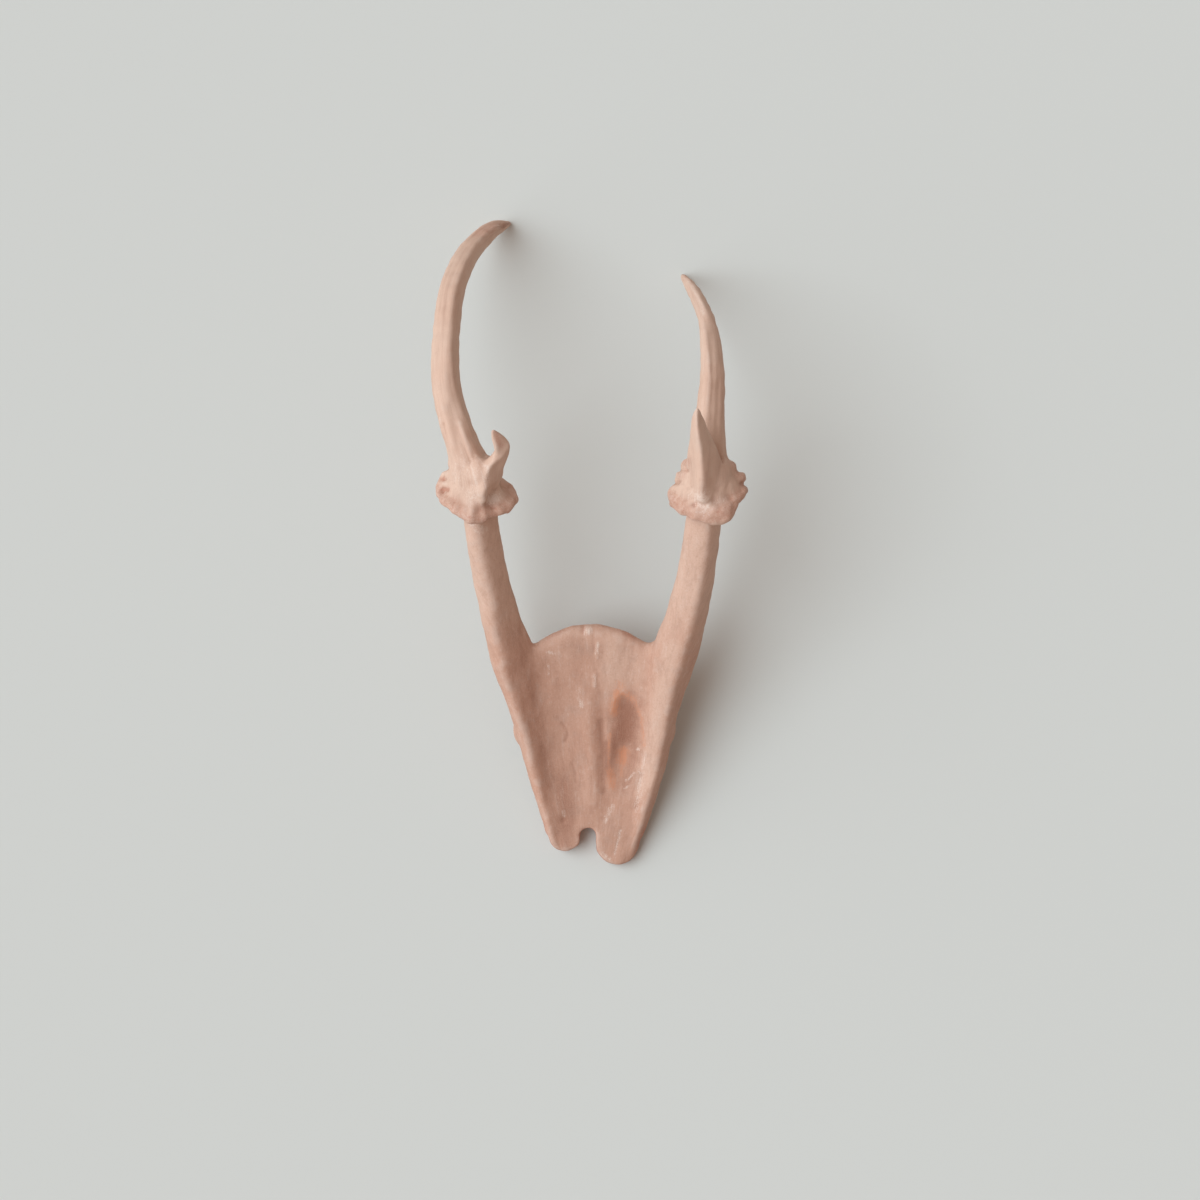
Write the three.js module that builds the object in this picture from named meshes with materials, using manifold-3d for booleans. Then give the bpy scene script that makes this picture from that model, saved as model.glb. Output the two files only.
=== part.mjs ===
// Antlered skull plate (frontlet) of a muntjac deer, life size, lying face up.
// Millimetres, +Z up from the floor, +Y from the nose towards the antler tips, +X to the right as seen
// from above. The origin is on the floor, under the middle of the whole.
// Left and right are those of a viewer who looks down on the forehead with the nose at the bottom.
import * as THREE from "three";
import { LoftGeometry } from "three/addons/geometries/LoftGeometry.js";
import { mergeVertices } from "three/addons/utils/BufferGeometryUtils.js";
import Module from "manifold-3d";

// Gap between bones that touch, the floor, and the shift that brings the middle of the whole over the origin.
const GAP = 0.3;
const FLOOR = 0;
const TO_MIDDLE = [-0.4, 0, 0];

// The two brow ridges run from the nose ends up the sides of the forehead and on into the pedicles.
// Each station: distance along the skull, height of the ridge's axis, its half depth,
// and on each side the place and half width of the ridge.
const RIDGE_STATIONS = [
  { y: -126.0, z: 0.5, deep: 3.0, left: { x: -9.0, wide: 3.4 }, right: { x: 15.0, wide: 3.6 } },
  { y: -84.0, z: 15.5, deep: 5.8, left: { x: -19.7, wide: 4.8 }, right: { x: 24.8, wide: 5.0 } },
  { y: -63.0, z: 23.0, deep: 7.2, left: { x: -24.0, wide: 6.4 }, right: { x: 28.0, wide: 6.6 } },
  { y: -42.5, z: 31.5, deep: 8.2, left: { x: -29.4, wide: 8.0 }, right: { x: 32.6, wide: 8.2 } },
  { y: -14.5, z: 45.0, deep: 7.0, left: { x: -36.3, wide: 6.7 }, right: { x: 39.4, wide: 7.2 } },
  { y: 17.0, z: 61.0, deep: 6.6, left: { x: -41.2, wide: 6.2 }, right: { x: 43.5, wide: 6.8 } },
];
const RIDGE_RINGS = 30;
const RIDGE_SIDES = 18;
// A blunt edge along the outer front of each ridge, as a share of its half width.
const RIDGE_EDGE = { rise: 0.1, spread: 0.45, angle: 50 };

// Where the pedicle is parted from the skull plate, along Y.
const PEDICLE_FOOT_Y = -31;

// The forehead between the ridges: a trough that climbs from the nose ends to the rear arch.
const FOREHEAD = {
  noseY: -124,
  noseTop: 6.2,
  rearTop: 33.5,
  sag: 1.5,
  rearY: -47.6,
  archRise: 17.0,
  archFillet: 9.0,
  rearRound: 6.0,
  midRidge: { height: 1.3, half: 3.2, from: -104, to: -52 },
  pit: { x: 14.2, y: -70, halfX: 5.0, halfY: 11.5, depth: 1.4 },
  across: 20,
  along: 22,
};
// The underside rests on the floor under the nose ends and lifts towards the rear.
const UNDERSIDE = { liftFromY: -112, rearHeight: 12, rearSetBack: 7, curl: 0.6, across: 12 };

// Ends of the two nose prongs in plan, and the notch between them.
const PRONGS = {
  left: { x: -9.3, y: -112.0, halfX: 6.4, halfY: 6.4 },
  right: { x: 10.7, y: -113.5, halfX: 8.9, halfY: 10.2 },
  notch: { x: -0.6, topY: -109.2, half: 3.2 },
  innerEnd: 0.04,
  flare: 60,
};

// The upper part of each eye socket, scooped from the side, and the knob on its rim.
const SOCKET = { x: 37, y: -71, z: 1.0, rx: 17, ry: 20, rz: 15.5 };
const SOCKET_KNOB = { y: -70.5, z: 15.5, rx: 4.6, ry: 8.0, rz: 4.2, left: -24.4, right: 28.4 };
const SOCKET_SIDES = 22;
const KNOB_SIDES = 12;

// Each burr is a lumpy collar: rings of height along the antler's axis and share of the rim radius.
const BURR_PROFILE = [
  { rise: -4.2, share: 0.52 },
  { rise: -3.2, share: 0.78 },
  { rise: -1.6, share: 0.95 },
  { rise: 0.4, share: 1.0 },
  { rise: 2.4, share: 0.98 },
  { rise: 4.0, share: 0.88 },
  { rise: 5.6, share: 0.68 },
];
const BURR_SIDES = 36;
const BURR_LUMPS = [
  { count: 4, size: 0.05 },
  { count: 7, size: 0.05 },
  { count: 13, size: 0.03 },
];
// The antler is parted above the burr, then between beam and brow tine.
const CROWN_CUT = 6.0;

const ANTLERS = {
  left: {
    burr: { centre: [-41.8, 16.2, 60.5], axis: [0.1, 0.78, 0.61], radius: 14.5, turn: 0.9 },
    beam: {
      root: [-40.6, 17.5, 60.0],
      rootPull: [-54.4, 51.0, 82.1],
      tipPull: [-62.1, 106.6, 54.0],
      tip: [-30.8, 123.0, -0.6],
      wide: 6.5,
      waist: 0.83,
      depth: 1.15,
      slim: 4.5,
      fullness: 0.5,
      keelAngle: 75,
    },
    tine: {
      points: [
        [-41.5, 15.5, 63.0],
        [-37.0, 22.5, 72.5],
        [-32.2, 31.0, 81.0],
        [-33.0, 36.0, 87.0],
        [-36.4, 39.2, 91.5],
      ],
      wide: 6.0,
      deep: 7.6,
      slim: 1.25,
    },
    fork: { at: [-37.2, 29.0, 71.5], facing: [0.62, -0.45, 0.64] },
  },
  right: {
    burr: { centre: [43.9, 17.2, 60.5], axis: [-0.1, 0.78, 0.61], radius: 14.4, turn: 4.5 },
    beam: {
      root: [43.0, 17.5, 60.0],
      rootPull: [47.2, 74.2, 79.8],
      tipPull: [44.0, 93.8, 33.3],
      tip: [35.4, 102.6, -0.6],
      wide: 6.4,
      waist: 0.74,
      depth: 1.2,
      slim: 1.8,
      fullness: 0.5,
      keelAngle: 105,
    },
    tine: {
      points: [
        [42.0, 15.0, 63.5],
        [40.8, 23.5, 73.5],
        [40.1, 33.5, 82.5],
        [39.4, 46.5, 92.0],
      ],
      wide: 8.0,
      deep: 7.8,
      slim: 1.1,
    },
    fork: { at: [43.2, 32.5, 74.0], facing: [-0.12, -0.62, 0.77] },
  },
};
const BEAM_RINGS = 26;
const BEAM_SIDES = 18;
const BEAM_START_T = -0.04;
const WAIST_T = 0.32;
const KEEL = { rise: 0.1, spread: 0.38 };
const TINE_RINGS = 12;
const TINE_SIDES = 14;
const TINE_KEEL = { rise: 0.28, spread: 0.5 };
const TIP_HALF = 0.7;

// Matt clay-pink bone, a little paler on the antlers.
const BONE = new THREE.MeshStandardMaterial({ color: 0xba907b, roughness: 0.85, metalness: 0 });
const ANTLER = new THREE.MeshStandardMaterial({ color: 0xc29d89, roughness: 0.8, metalness: 0 });

const wasm = await Module();
wasm.setup();

const vec = (p) => new THREE.Vector3(...p);
const bell = (x, half) => Math.exp(-((x / half) ** 2));
const wrap = (a) => Math.atan2(Math.sin(a), Math.cos(a));
const rad = THREE.MathUtils.degToRad;
const lerp = THREE.MathUtils.lerp;
const ramp = THREE.MathUtils.smoothstep;

// A closed surface as a solid that can be joined and cut.
function solid(geometry) {
  const bare = new THREE.BufferGeometry().setAttribute("position", geometry.getAttribute("position"));
  bare.setIndex(geometry.index);
  const merged = mergeVertices(bare, 1e-4);
  return new wasm.Manifold(
    new wasm.Mesh({
      numProp: 3,
      vertProperties: merged.getAttribute("position").array,
      triVerts: new Uint32Array(merged.index.array),
    }),
  );
}

// The largest closed body of a solid, as a named mesh.
function node(name, body, material) {
  const pieces = body.decompose().sort((a, b) => b.volume() - a.volume());
  const mesh = pieces[0].translate(TO_MIDDLE).getMesh();
  const geometry = new THREE.BufferGeometry();
  geometry.setAttribute("position", new THREE.BufferAttribute(mesh.vertProperties, 3));
  geometry.setIndex(new THREE.BufferAttribute(mesh.triVerts, 1));
  geometry.computeVertexNormals();
  const made = new THREE.Mesh(geometry, material.clone());
  made.name = name;
  return made;
}

// Both sides of a plane, each kept half the gap clear of it: [the side it faces, the other side].
function part(body, point, facing) {
  const n = facing.clone().normalize();
  const at = n.dot(point);
  return [
    body.trimByPlane(n.toArray(), at + GAP / 2),
    body.trimByPlane(n.clone().negate().toArray(), -(at - GAP / 2)),
  ];
}

// A limb lofted along a curve. halves(t) gives its half width and half depth, and swell(angle) a share
// added to the radius, with angle 0 at the front (up) and 90 degrees to the right.
function limb(curve, rings, sides, halves, swell, firstT = 0) {
  const sections = [];
  for (let i = 0; i <= rings; i++) {
    const t = lerp(firstT, 1, i / rings);
    const centre = curve.getPoint(Math.max(t, 0));
    const along = curve.getTangent(Math.max(t, 0));
    centre.addScaledVector(along, Math.min(t, 0) * curve.getLength());
    const across = new THREE.Vector3().crossVectors(along, new THREE.Vector3(0, 0, 1)).normalize();
    const front = new THREE.Vector3().crossVectors(across, along);
    const [wide, deep] = halves(Math.max(t, 0));
    const section = [];
    for (let j = 0; j < sides; j++) {
      const angle = (2 * Math.PI * j) / sides;
      const share = 1 + swell(angle);
      section.push(
        centre
          .clone()
          .addScaledVector(front, Math.cos(angle) * deep * share)
          .addScaledVector(across, Math.sin(angle) * wide * share),
      );
    }
    sections.push(section);
  }
  return solid(new LoftGeometry(sections, { capStart: true, capEnd: true }));
}

// Axis of a brow ridge and pedicle, and its half sizes, both read at the same parameter.
function ridge(side) {
  const axis = new THREE.CatmullRomCurve3(
    RIDGE_STATIONS.map((s) => new THREE.Vector3(s[side].x, s.y, s.z)),
  );
  const sizes = new THREE.SplineCurve(RIDGE_STATIONS.map((s) => new THREE.Vector2(s[side].wide, s.deep)));
  return { axis, halves: (t) => sizes.getPoint(t).toArray() };
}

// The point of a ridge's axis at a given distance along the skull.
function ridgeAt(axis, y) {
  let low = 0;
  let high = 1;
  for (let i = 0; i < 24; i++) {
    const middle = (low + high) / 2;
    if (axis.getPoint(middle).y < y) low = middle;
    else high = middle;
  }
  return { point: axis.getPoint(low), along: axis.getTangent(low) };
}

function ridgeBody(side, { axis, halves }) {
  const sign = side === "left" ? -1 : 1;
  const edge = (angle) =>
    RIDGE_EDGE.rise * bell(wrap(angle - sign * rad(RIDGE_EDGE.angle)), RIDGE_EDGE.spread);
  return limb(axis, RIDGE_RINGS, RIDGE_SIDES, halves, edge);
}

// Rear edge of the forehead in plan: an arch, with a fillet where it runs into each ridge.
function rearEdge(u, fillet) {
  return FOREHEAD.rearY + FOREHEAD.archRise * (1 - u * u) + fillet * u ** 8;
}

// Height of the forehead's surface. u runs from -1 at the left ridge to 1 at the right, v from nose to rear.
function foreheadTop({ x, y, u, v, ridgeZ }) {
  const middle = lerp(FOREHEAD.noseTop, FOREHEAD.rearTop, v) - FOREHEAD.sag * 4 * v * (1 - v);
  const trough = lerp(middle, Math.max(ridgeZ, middle), u ** 4);
  const { midRidge, pit } = FOREHEAD;
  const length = ramp(y, midRidge.from, midRidge.from + 12) * (1 - ramp(y, midRidge.to - 12, midRidge.to));
  const crest = midRidge.height * bell(x, midRidge.half) * length;
  const hollow = pit.depth * bell(x - pit.x, pit.halfX) * bell(y - pit.y, pit.halfY);
  const past = Math.max(0, y - (rearEdge(u, FOREHEAD.archFillet) - FOREHEAD.rearRound)) / FOREHEAD.rearRound;
  const rounding = FOREHEAD.rearRound * (1 - Math.sqrt(Math.max(0, 1 - Math.min(past, 1) ** 2)));
  return trough + crest - hollow - rounding;
}

// Height of the underside: flat on the floor at the nose, lifting to the rear, curled up towards the ridges.
function foreheadUnder({ y, u, ridgeZ }) {
  const lift = Math.max(0, y - UNDERSIDE.liftFromY) / (FOREHEAD.rearY - UNDERSIDE.liftFromY);
  const middle = FLOOR + UNDERSIDE.rearHeight * lift;
  return lerp(middle, ridgeZ, UNDERSIDE.curl * u ** 4);
}

// The forehead as one block: trough on top, curled underside, arched rear.
function foreheadBody(ridges) {
  const sections = [];
  for (let i = 0; i <= FOREHEAD.along; i++) {
    const v = 1 - (1 - i / FOREHEAD.along) ** 1.25;
    const section = [];
    const place = (u, rear, height) => {
      const y = lerp(FOREHEAD.noseY, rear, v);
      const left = ridgeAt(ridges.left.axis, y).point;
      const right = ridgeAt(ridges.right.axis, y).point;
      const x = lerp(left.x, right.x, (1 + u) / 2);
      const ridgeZ = lerp(left.z, right.z, (1 + u) / 2);
      section.push(new THREE.Vector3(x, y, height({ x, y, u, v, ridgeZ })));
    };
    for (let j = 0; j <= FOREHEAD.across; j++) {
      const u = lerp(-1, 1, j / FOREHEAD.across);
      place(u, rearEdge(u, FOREHEAD.archFillet), foreheadTop);
    }
    for (let j = 0; j <= UNDERSIDE.across; j++) {
      const u = lerp(1, -1, j / UNDERSIDE.across);
      place(u, rearEdge(u, 0) - UNDERSIDE.rearSetBack, foreheadUnder);
    }
    sections.push(section);
  }
  return solid(new LoftGeometry(sections, { capStart: true, capEnd: true }));
}

// Plan of the skull plate: round prong ends at the nose, a notch between them, open towards the rear.
function planBody() {
  const { left, right, notch, innerEnd, flare } = PRONGS;
  const turn = 2 * Math.PI;
  const plan = new THREE.Shape();
  plan.moveTo(-flare, 0);
  plan.lineTo(left.x - left.halfX - flare, left.y + flare);
  plan.lineTo(left.x - left.halfX, left.y);
  plan.absellipse(left.x, left.y, left.halfX, left.halfY, turn / 2, turn * (1 - innerEnd), false);
  plan.lineTo(notch.x - notch.half, notch.topY - notch.half);
  plan.absarc(notch.x, notch.topY - notch.half, notch.half, turn / 2, 0, true);
  plan.absellipse(right.x, right.y, right.halfX, right.halfY, turn * (0.5 + innerEnd / 2), turn, false);
  plan.lineTo(right.x + right.halfX + flare, right.y + flare);
  plan.lineTo(flare, 0);
  const body = new THREE.ExtrudeGeometry(plan, { depth: 2 * flare, bevelEnabled: false, curveSegments: 10 });
  body.translate(0, 0, -flare / 2);
  return solid(body);
}

function ellipsoid({ x, y, z, rx, ry, rz }, sides) {
  const ball = new THREE.SphereGeometry(1, sides, Math.round(sides * 0.7));
  ball.scale(rx, ry, rz);
  ball.translate(x, y, z);
  return solid(ball);
}

// Skull plate and pedicles as one bone, then parted at each pedicle's foot and trimmed at each burr.
function skull() {
  const ridges = { left: ridge("left"), right: ridge("right") };
  let plate = foreheadBody(ridges);
  const pedicles = {};
  const feet = {};
  for (const side of ["left", "right"]) {
    const { axis } = ridges[side];
    const foot = ridgeAt(axis, PEDICLE_FOOT_Y);
    feet[side] = foot;
    const body = ridgeBody(side, ridges[side]);
    const { centre, axis: burrAxis } = ANTLERS[side].burr;
    const n = vec(burrAxis).normalize();
    const base = vec(centre).addScaledVector(n, BURR_PROFILE[0].rise - GAP);
    const [above, below] = part(body, foot.point, foot.along);
    pedicles[side] = above.trimByPlane(n.clone().negate().toArray(), -n.dot(base));
    plate = plate.add(below);
  }
  for (const side of ["left", "right"]) {
    const sign = side === "left" ? -1 : 1;
    const eye = { ...SOCKET, x: sign * SOCKET.x };
    plate = plate.subtract(ellipsoid(eye, SOCKET_SIDES));
    plate = plate.add(ellipsoid({ ...SOCKET_KNOB, x: SOCKET_KNOB[side] }, KNOB_SIDES));
    plate = part(plate, feet[side].point, feet[side].along)[1];
  }
  plate = plate.intersect(planBody()).trimByPlane([0, 0, 1], FLOOR);
  return { plate, pedicles };
}

// Collar of lumps round the foot of the antler.
function burrBody({ centre, axis, radius, turn }) {
  const n = vec(axis).normalize();
  const across = new THREE.Vector3().crossVectors(n, new THREE.Vector3(0, 0, 1)).normalize();
  const front = new THREE.Vector3().crossVectors(across, n);
  const sections = BURR_PROFILE.map(({ rise, share }) => {
    const section = [];
    for (let j = 0; j < BURR_SIDES; j++) {
      const angle = (2 * Math.PI * j) / BURR_SIDES;
      const lumps = BURR_LUMPS.reduce(
        (sum, lump, i) => sum + lump.size * Math.cos(lump.count * angle + turn * (i + 1)),
        0,
      );
      const reach = radius * share * (1 + lumps * share ** 3);
      section.push(
        vec(centre)
          .addScaledVector(n, rise)
          .addScaledVector(front, Math.cos(angle) * reach)
          .addScaledVector(across, Math.sin(angle) * reach),
      );
    }
    return section;
  });
  return solid(new LoftGeometry(sections, { capStart: true, capEnd: true }));
}

// Curved main beam that thins to a point, with a blunt keel along its inner side.
function beamBody(beam) {
  const points = [beam.root, beam.rootPull, beam.tipPull, beam.tip].map(vec);
  const curve = new THREE.CubicBezierCurve3(...points);
  const halves = (t) => {
    const taper = (1 - t ** beam.slim) ** beam.fullness;
    const wide = beam.wide * lerp(1, beam.waist, ramp(t, 0, WAIST_T)) * taper;
    return [Math.max(wide, TIP_HALF), Math.max(wide * beam.depth, TIP_HALF)];
  };
  const keel = (angle) => KEEL.rise * bell(wrap(angle - rad(beam.keelAngle)), KEEL.spread);
  return limb(curve, BEAM_RINGS, BEAM_SIDES, halves, keel, BEAM_START_T);
}

// Short pointed tine that stands off the front of the burr, with a keel along its front.
function tineBody(tine) {
  const curve = new THREE.CatmullRomCurve3(tine.points.map(vec));
  const halves = (t) => {
    const share = 1 - t ** tine.slim;
    return [Math.max(tine.wide * share, TIP_HALF), Math.max(tine.deep * share, TIP_HALF)];
  };
  const keel = (angle) => TINE_KEEL.rise * bell(wrap(angle), TINE_KEEL.spread);
  return limb(curve, TINE_RINGS, TINE_SIDES, halves, keel);
}

// One antler modelled whole, then parted into burr, beam and brow tine.
function antler(side) {
  const { burr, beam, tine, fork } = ANTLERS[side];
  const n = vec(burr.axis).normalize();
  const base = vec(burr.centre).addScaledVector(n, BURR_PROFILE[0].rise);
  const whole = burrBody(burr)
    .add(beamBody(beam))
    .add(tineBody(tine))
    .trimByPlane(n.toArray(), n.dot(base))
    .trimByPlane([0, 0, 1], FLOOR);
  const crown = vec(burr.centre).addScaledVector(n, CROWN_CUT);
  const [above, below] = part(whole, crown, n);
  const [front, back] = part(above, vec(fork.at), vec(fork.facing));
  return { burr: below, beam: back, tine: front };
}

const frontlet = new THREE.Group();
frontlet.name = "frontlet";
const { plate, pedicles } = skull();
frontlet.add(node("skull_plate", plate, BONE));
for (const side of ["left", "right"]) {
  const { burr, beam, tine } = antler(side);
  frontlet.add(node(`${side}_pedicle`, pedicles[side], BONE));
  frontlet.add(node(`${side}_burr`, burr, ANTLER));
  frontlet.add(node(`${side}_beam`, beam, ANTLER));
  frontlet.add(node(`${side}_brow_tine`, tine, ANTLER));
}

export default frontlet;
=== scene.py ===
"""Antlered skull plate (frontlet) of a small deer, lying face up on a pale floor.

Classes hold their sizes in millimetres in the part's own frame: +Y from the nose ends to
the antler tips, +Z up, +X to the right. Every piece is drawn out of primitives, fused to
one skin, worked over with strokes, and brought to metres as the last step.
"""
import logging
import math
from contextlib import contextmanager
from dataclasses import dataclass, field
from enum import Enum
from typing import Any, Callable, ClassVar, Iterator, NamedTuple, Sequence

import bpy
import numpy as np
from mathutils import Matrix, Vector


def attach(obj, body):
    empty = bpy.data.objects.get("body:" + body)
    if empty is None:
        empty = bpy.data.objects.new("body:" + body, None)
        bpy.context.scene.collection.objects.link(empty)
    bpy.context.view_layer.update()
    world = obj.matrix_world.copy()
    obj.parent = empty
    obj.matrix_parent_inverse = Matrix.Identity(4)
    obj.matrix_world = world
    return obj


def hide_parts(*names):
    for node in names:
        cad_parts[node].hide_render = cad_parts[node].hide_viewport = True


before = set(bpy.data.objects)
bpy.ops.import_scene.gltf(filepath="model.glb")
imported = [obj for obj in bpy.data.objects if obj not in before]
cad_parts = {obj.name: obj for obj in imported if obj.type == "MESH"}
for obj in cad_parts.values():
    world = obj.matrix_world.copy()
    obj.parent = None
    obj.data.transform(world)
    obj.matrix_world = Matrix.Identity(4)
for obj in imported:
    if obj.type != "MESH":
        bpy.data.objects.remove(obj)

LOG = logging.getLogger("frontlet")
MM = 0.001
UP = np.array([0.0, 0.0, 1.0])
ORIGIN = (0.0, 0.0, 0.0)
CUT_THROUGH = 80.0  # depth of a cutter that goes right through
RIPPLE_WAVES = 32  # plane waves in a ripple
RIPPLE_PITCH = (0.7, 1.4)  # their shortest and longest pitch, as shares
MELT_LEVELS = 10  # steps of strength in a melt
LINE_SAMPLES = 6  # samples of a limb's line for each ring
FLAT_TOP = 4.0  # hardness of a bell with a flat top

Array = np.ndarray
Piece = bpy.types.Object
Pair = tuple[float, float]
Triple = tuple[float, float, float]
Plan = tuple[Pair, ...]
Tone = tuple[int, int, int]


class Side(Enum):
    """The two sides as seen from above with the nose at the bottom."""

    LEFT = "left"
    RIGHT = "right"

    @property
    def sign(self) -> int:
        """-1 on the left and 1 on the right."""
        return -1 if self is Side.LEFT else 1


class Paint(Enum):
    """Marks that the coat carries, among them painted shade and painted highlight; each is a strength kept
    on the mesh.
    """

    SCRAPE = "scrape"
    # Grey-brown dirt, also laid as painted shade.
    SMUDGE_AND_SHADE = "smudge_and_shade"
    # Pale scratches, also laid as painted highlight.
    CHALK_AND_HIGHLIGHT = "chalk_and_highlight"
    RUST = "rust"
    # Painted shade in the hollows.
    HOLLOW_SHADE = "hollow_shade"
    # Paled crests: wear and painted highlight.
    CREST_WEAR_AND_HIGHLIGHT = "crest"
    BLEACH = "bleach"


# Small sums


def unit(rows: Array) -> Array:
    """Rows scaled to length one."""
    return rows / np.maximum(np.linalg.norm(rows, axis=-1, keepdims=True), 1e-9)


def bell(x: Array, half: float, hard: float = 2.0) -> Array:
    """A bump of height one; hard above two gives it a flat top and steep sides."""
    return np.exp(-np.abs(x / half) ** hard)


def ramp(x: Array, low: float, high: float) -> Array:
    """A smooth step from 0 at low to 1 at high."""
    t = np.clip((x - low) / (high - low), 0.0, 1.0)
    return t * t * (3.0 - 2.0 * t)


def wrap(angle: Array) -> Array:
    """An angle brought into the range from -pi to pi."""
    return np.arctan2(np.sin(angle), np.cos(angle))


def spline(rows: Array, samples: int) -> Array:
    """A smooth line through a few rows.

    Args:
        rows: Knots, whose first three columns are a place; the others follow along.
        samples: How many rows to return, evenly spread along the line.

    Returns:
        The sampled rows.
    """
    chord = np.linalg.norm(np.diff(rows[:, :3], axis=0), axis=1)
    at = np.concatenate([[0.0], np.cumsum(chord)])
    slope = np.gradient(rows, at, axis=0)
    want = np.linspace(0.0, at[-1], samples)
    i = np.clip(np.searchsorted(at, want, side="right") - 1, 0, len(at) - 2)
    span = (at[i + 1] - at[i])[:, None]
    t = (want - at[i])[:, None] / span
    return (
        (2 * t**3 - 3 * t**2 + 1) * rows[i]
        + (t**3 - 2 * t**2 + t) * span * slope[i]
        + (3 * t**2 - 2 * t**3) * rows[i + 1]
        + (t**3 - t**2) * span * slope[i + 1]
    )


def ripple(places: Array, wave: float, seed: int) -> Array:
    """Soft waviness of mean size one: a sum of plane waves, the same on every run.

    Args:
        places: Rows of x, y, z.
        wave: Length of the waves.
        seed: Where the random numbers start.

    Returns:
        A value for each place.
    """
    draw = np.random.default_rng(seed)
    headings = unit(draw.normal(size=(RIPPLE_WAVES, 3))) * draw.uniform(*RIPPLE_PITCH, (RIPPLE_WAVES, 1))
    phases = draw.uniform(0.0, 2.0 * math.pi, RIPPLE_WAVES)
    waves = np.cos(places @ headings.T * (2.0 * math.pi / wave) + phases)
    return waves.sum(1) / math.sqrt(RIPPLE_WAVES / 2)


class Ripple(NamedTuple):
    """Waviness of a skin: its height, the length of its waves and its seed."""

    height: float
    wave: float
    seed: int

    def over(self, places: Array) -> Array:
        """The rise that it gives each place."""
        return self.height * ripple(places, self.wave, self.seed)


def plan_distance(places: Array, path: Plan) -> Array:
    """Distance in plan from each place to a line of one or more points."""
    flat = places[:, :2]
    knots = np.array(path, float)
    if len(knots) == 1:
        return np.linalg.norm(flat - knots[0], axis=1)
    nearest = np.full(len(flat), np.inf)
    for a, b in zip(knots[:-1], knots[1:]):
        run = b - a
        t = np.clip((flat - a) @ run / (run @ run), 0.0, 1.0)
        nearest = np.minimum(nearest, np.linalg.norm(flat - a - t[:, None] * run, axis=1))
    return nearest


# Work at the bench


def choose(piece: Piece) -> None:
    """Selects one piece alone and makes it active."""
    bpy.ops.object.select_all(action="DESELECT")
    piece.select_set(True)
    bpy.context.view_layer.objects.active = piece


@contextmanager
def editing(piece: Piece) -> Iterator[None]:
    """Opens a piece in edit mode with everything on it selected."""
    choose(piece)
    bpy.ops.object.mode_set(mode="EDIT")
    bpy.ops.mesh.select_all(action="SELECT")
    yield
    bpy.ops.object.mode_set(mode="OBJECT")


def new_piece(name: str) -> Piece:
    """Names the primitive that was just added, and returns it."""
    piece = bpy.context.object
    piece.name = name
    piece.data.name = name
    return piece


def primitive(name: str, add: Callable[..., Any], **sizes: Any) -> Piece:
    """Adds one of Blender's primitives with nothing else selected.

    Args:
        name: Name of the new piece.
        add: The operator that adds it.
        **sizes: The operator's own settings.

    Returns:
        The new piece.
    """
    bpy.ops.object.select_all(action="DESELECT")
    add(**sizes)
    return new_piece(name)


def set_out(piece: Piece, stretch: Sequence[float], centre: Sequence[float]) -> Piece:
    """Stretches a new primitive to its size, moves it to its place and returns it."""
    with editing(piece):
        bpy.ops.transform.resize(value=stretch, center_override=ORIGIN)
        bpy.ops.transform.translate(value=centre)
    return piece


def turn(angle: float, axis: str, centre: Vector) -> None:
    """Turns the selection; with no window the operator turns the other way round."""
    bpy.ops.transform.rotate(value=-angle, orient_axis=axis, center_override=centre)


def finish_with(piece: Piece, kind: str, **settings: Any) -> None:
    """Puts one modifier on a piece and applies it.

    Args:
        piece: The mesh to work on.
        kind: Blender's name for the kind of modifier.
        **settings: Values for the modifier's own fields.
    """
    choose(piece)
    modifier = piece.modifiers.new(kind.title(), kind)
    for name, value in settings.items():
        setattr(modifier, name, value)
    bpy.ops.object.modifier_apply(modifier=modifier.name)


def fuse(pieces: Sequence[Piece], name: str, grain: float) -> Piece:
    """Joins pieces that run into one another into one closed skin.

    Args:
        pieces: Closed meshes that overlap.
        name: Name of the result.
        grain: Edge length of the new skin.

    Returns:
        The fused piece.
    """
    choose(pieces[0])
    for piece in pieces:
        piece.select_set(True)
    bpy.ops.object.join()
    whole = new_piece(name)
    finish_with(whole, "REMESH", mode="VOXEL", voxel_size=grain)
    return whole


def carve(piece: Piece, cutter: Piece) -> None:
    """Takes the cutter's shape out of a piece and throws the cutter away."""
    finish_with(piece, "BOOLEAN", operation="DIFFERENCE", solver="MANIFOLD", object=cutter)
    bpy.data.objects.remove(cutter)


def ball(name: str, centre: Sequence[float], radii: Sequence[float]) -> Piece:
    """A ball of its own size and place, in three different half sizes."""
    piece = primitive(name, bpy.ops.mesh.primitive_uv_sphere_add, segments=48, ring_count=28, radius=1.0)
    return set_out(piece, radii, centre)


def soften(piece: Piece, weights: Array, rounds: int) -> None:
    """Melts the skin where the weights say, as a fillet between two forms.

    Args:
        piece: The mesh to smooth.
        weights: One strength from 0 to 1 for each vertex.
        rounds: How often the smoothing is repeated.
    """
    group = piece.vertex_groups.new(name="melt")
    for level in range(1, MELT_LEVELS + 1):
        chosen = np.flatnonzero(np.round(weights * MELT_LEVELS) == level)
        if len(chosen):
            group.add(chosen.tolist(), level / MELT_LEVELS, "REPLACE")
    finish_with(piece, "SMOOTH", factor=0.5, iterations=rounds, vertex_group=group.name)
    piece.vertex_groups.remove(piece.vertex_groups["melt"])


def coat(piece: Piece, finish: bpy.types.Material) -> None:
    """Gives a piece its one material and brings it to metres, with its place in its mesh."""
    piece.data.materials.clear()
    piece.data.materials.append(finish)
    with editing(piece):
        bpy.ops.transform.resize(value=(MM, MM, MM), center_override=ORIGIN)
    choose(piece)
    bpy.ops.object.shade_smooth()


class Station(NamedTuple):
    """A place on a limb's line with the limb's half width and half depth there."""

    x: float
    y: float
    z: float
    wide: float
    deep: float


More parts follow.
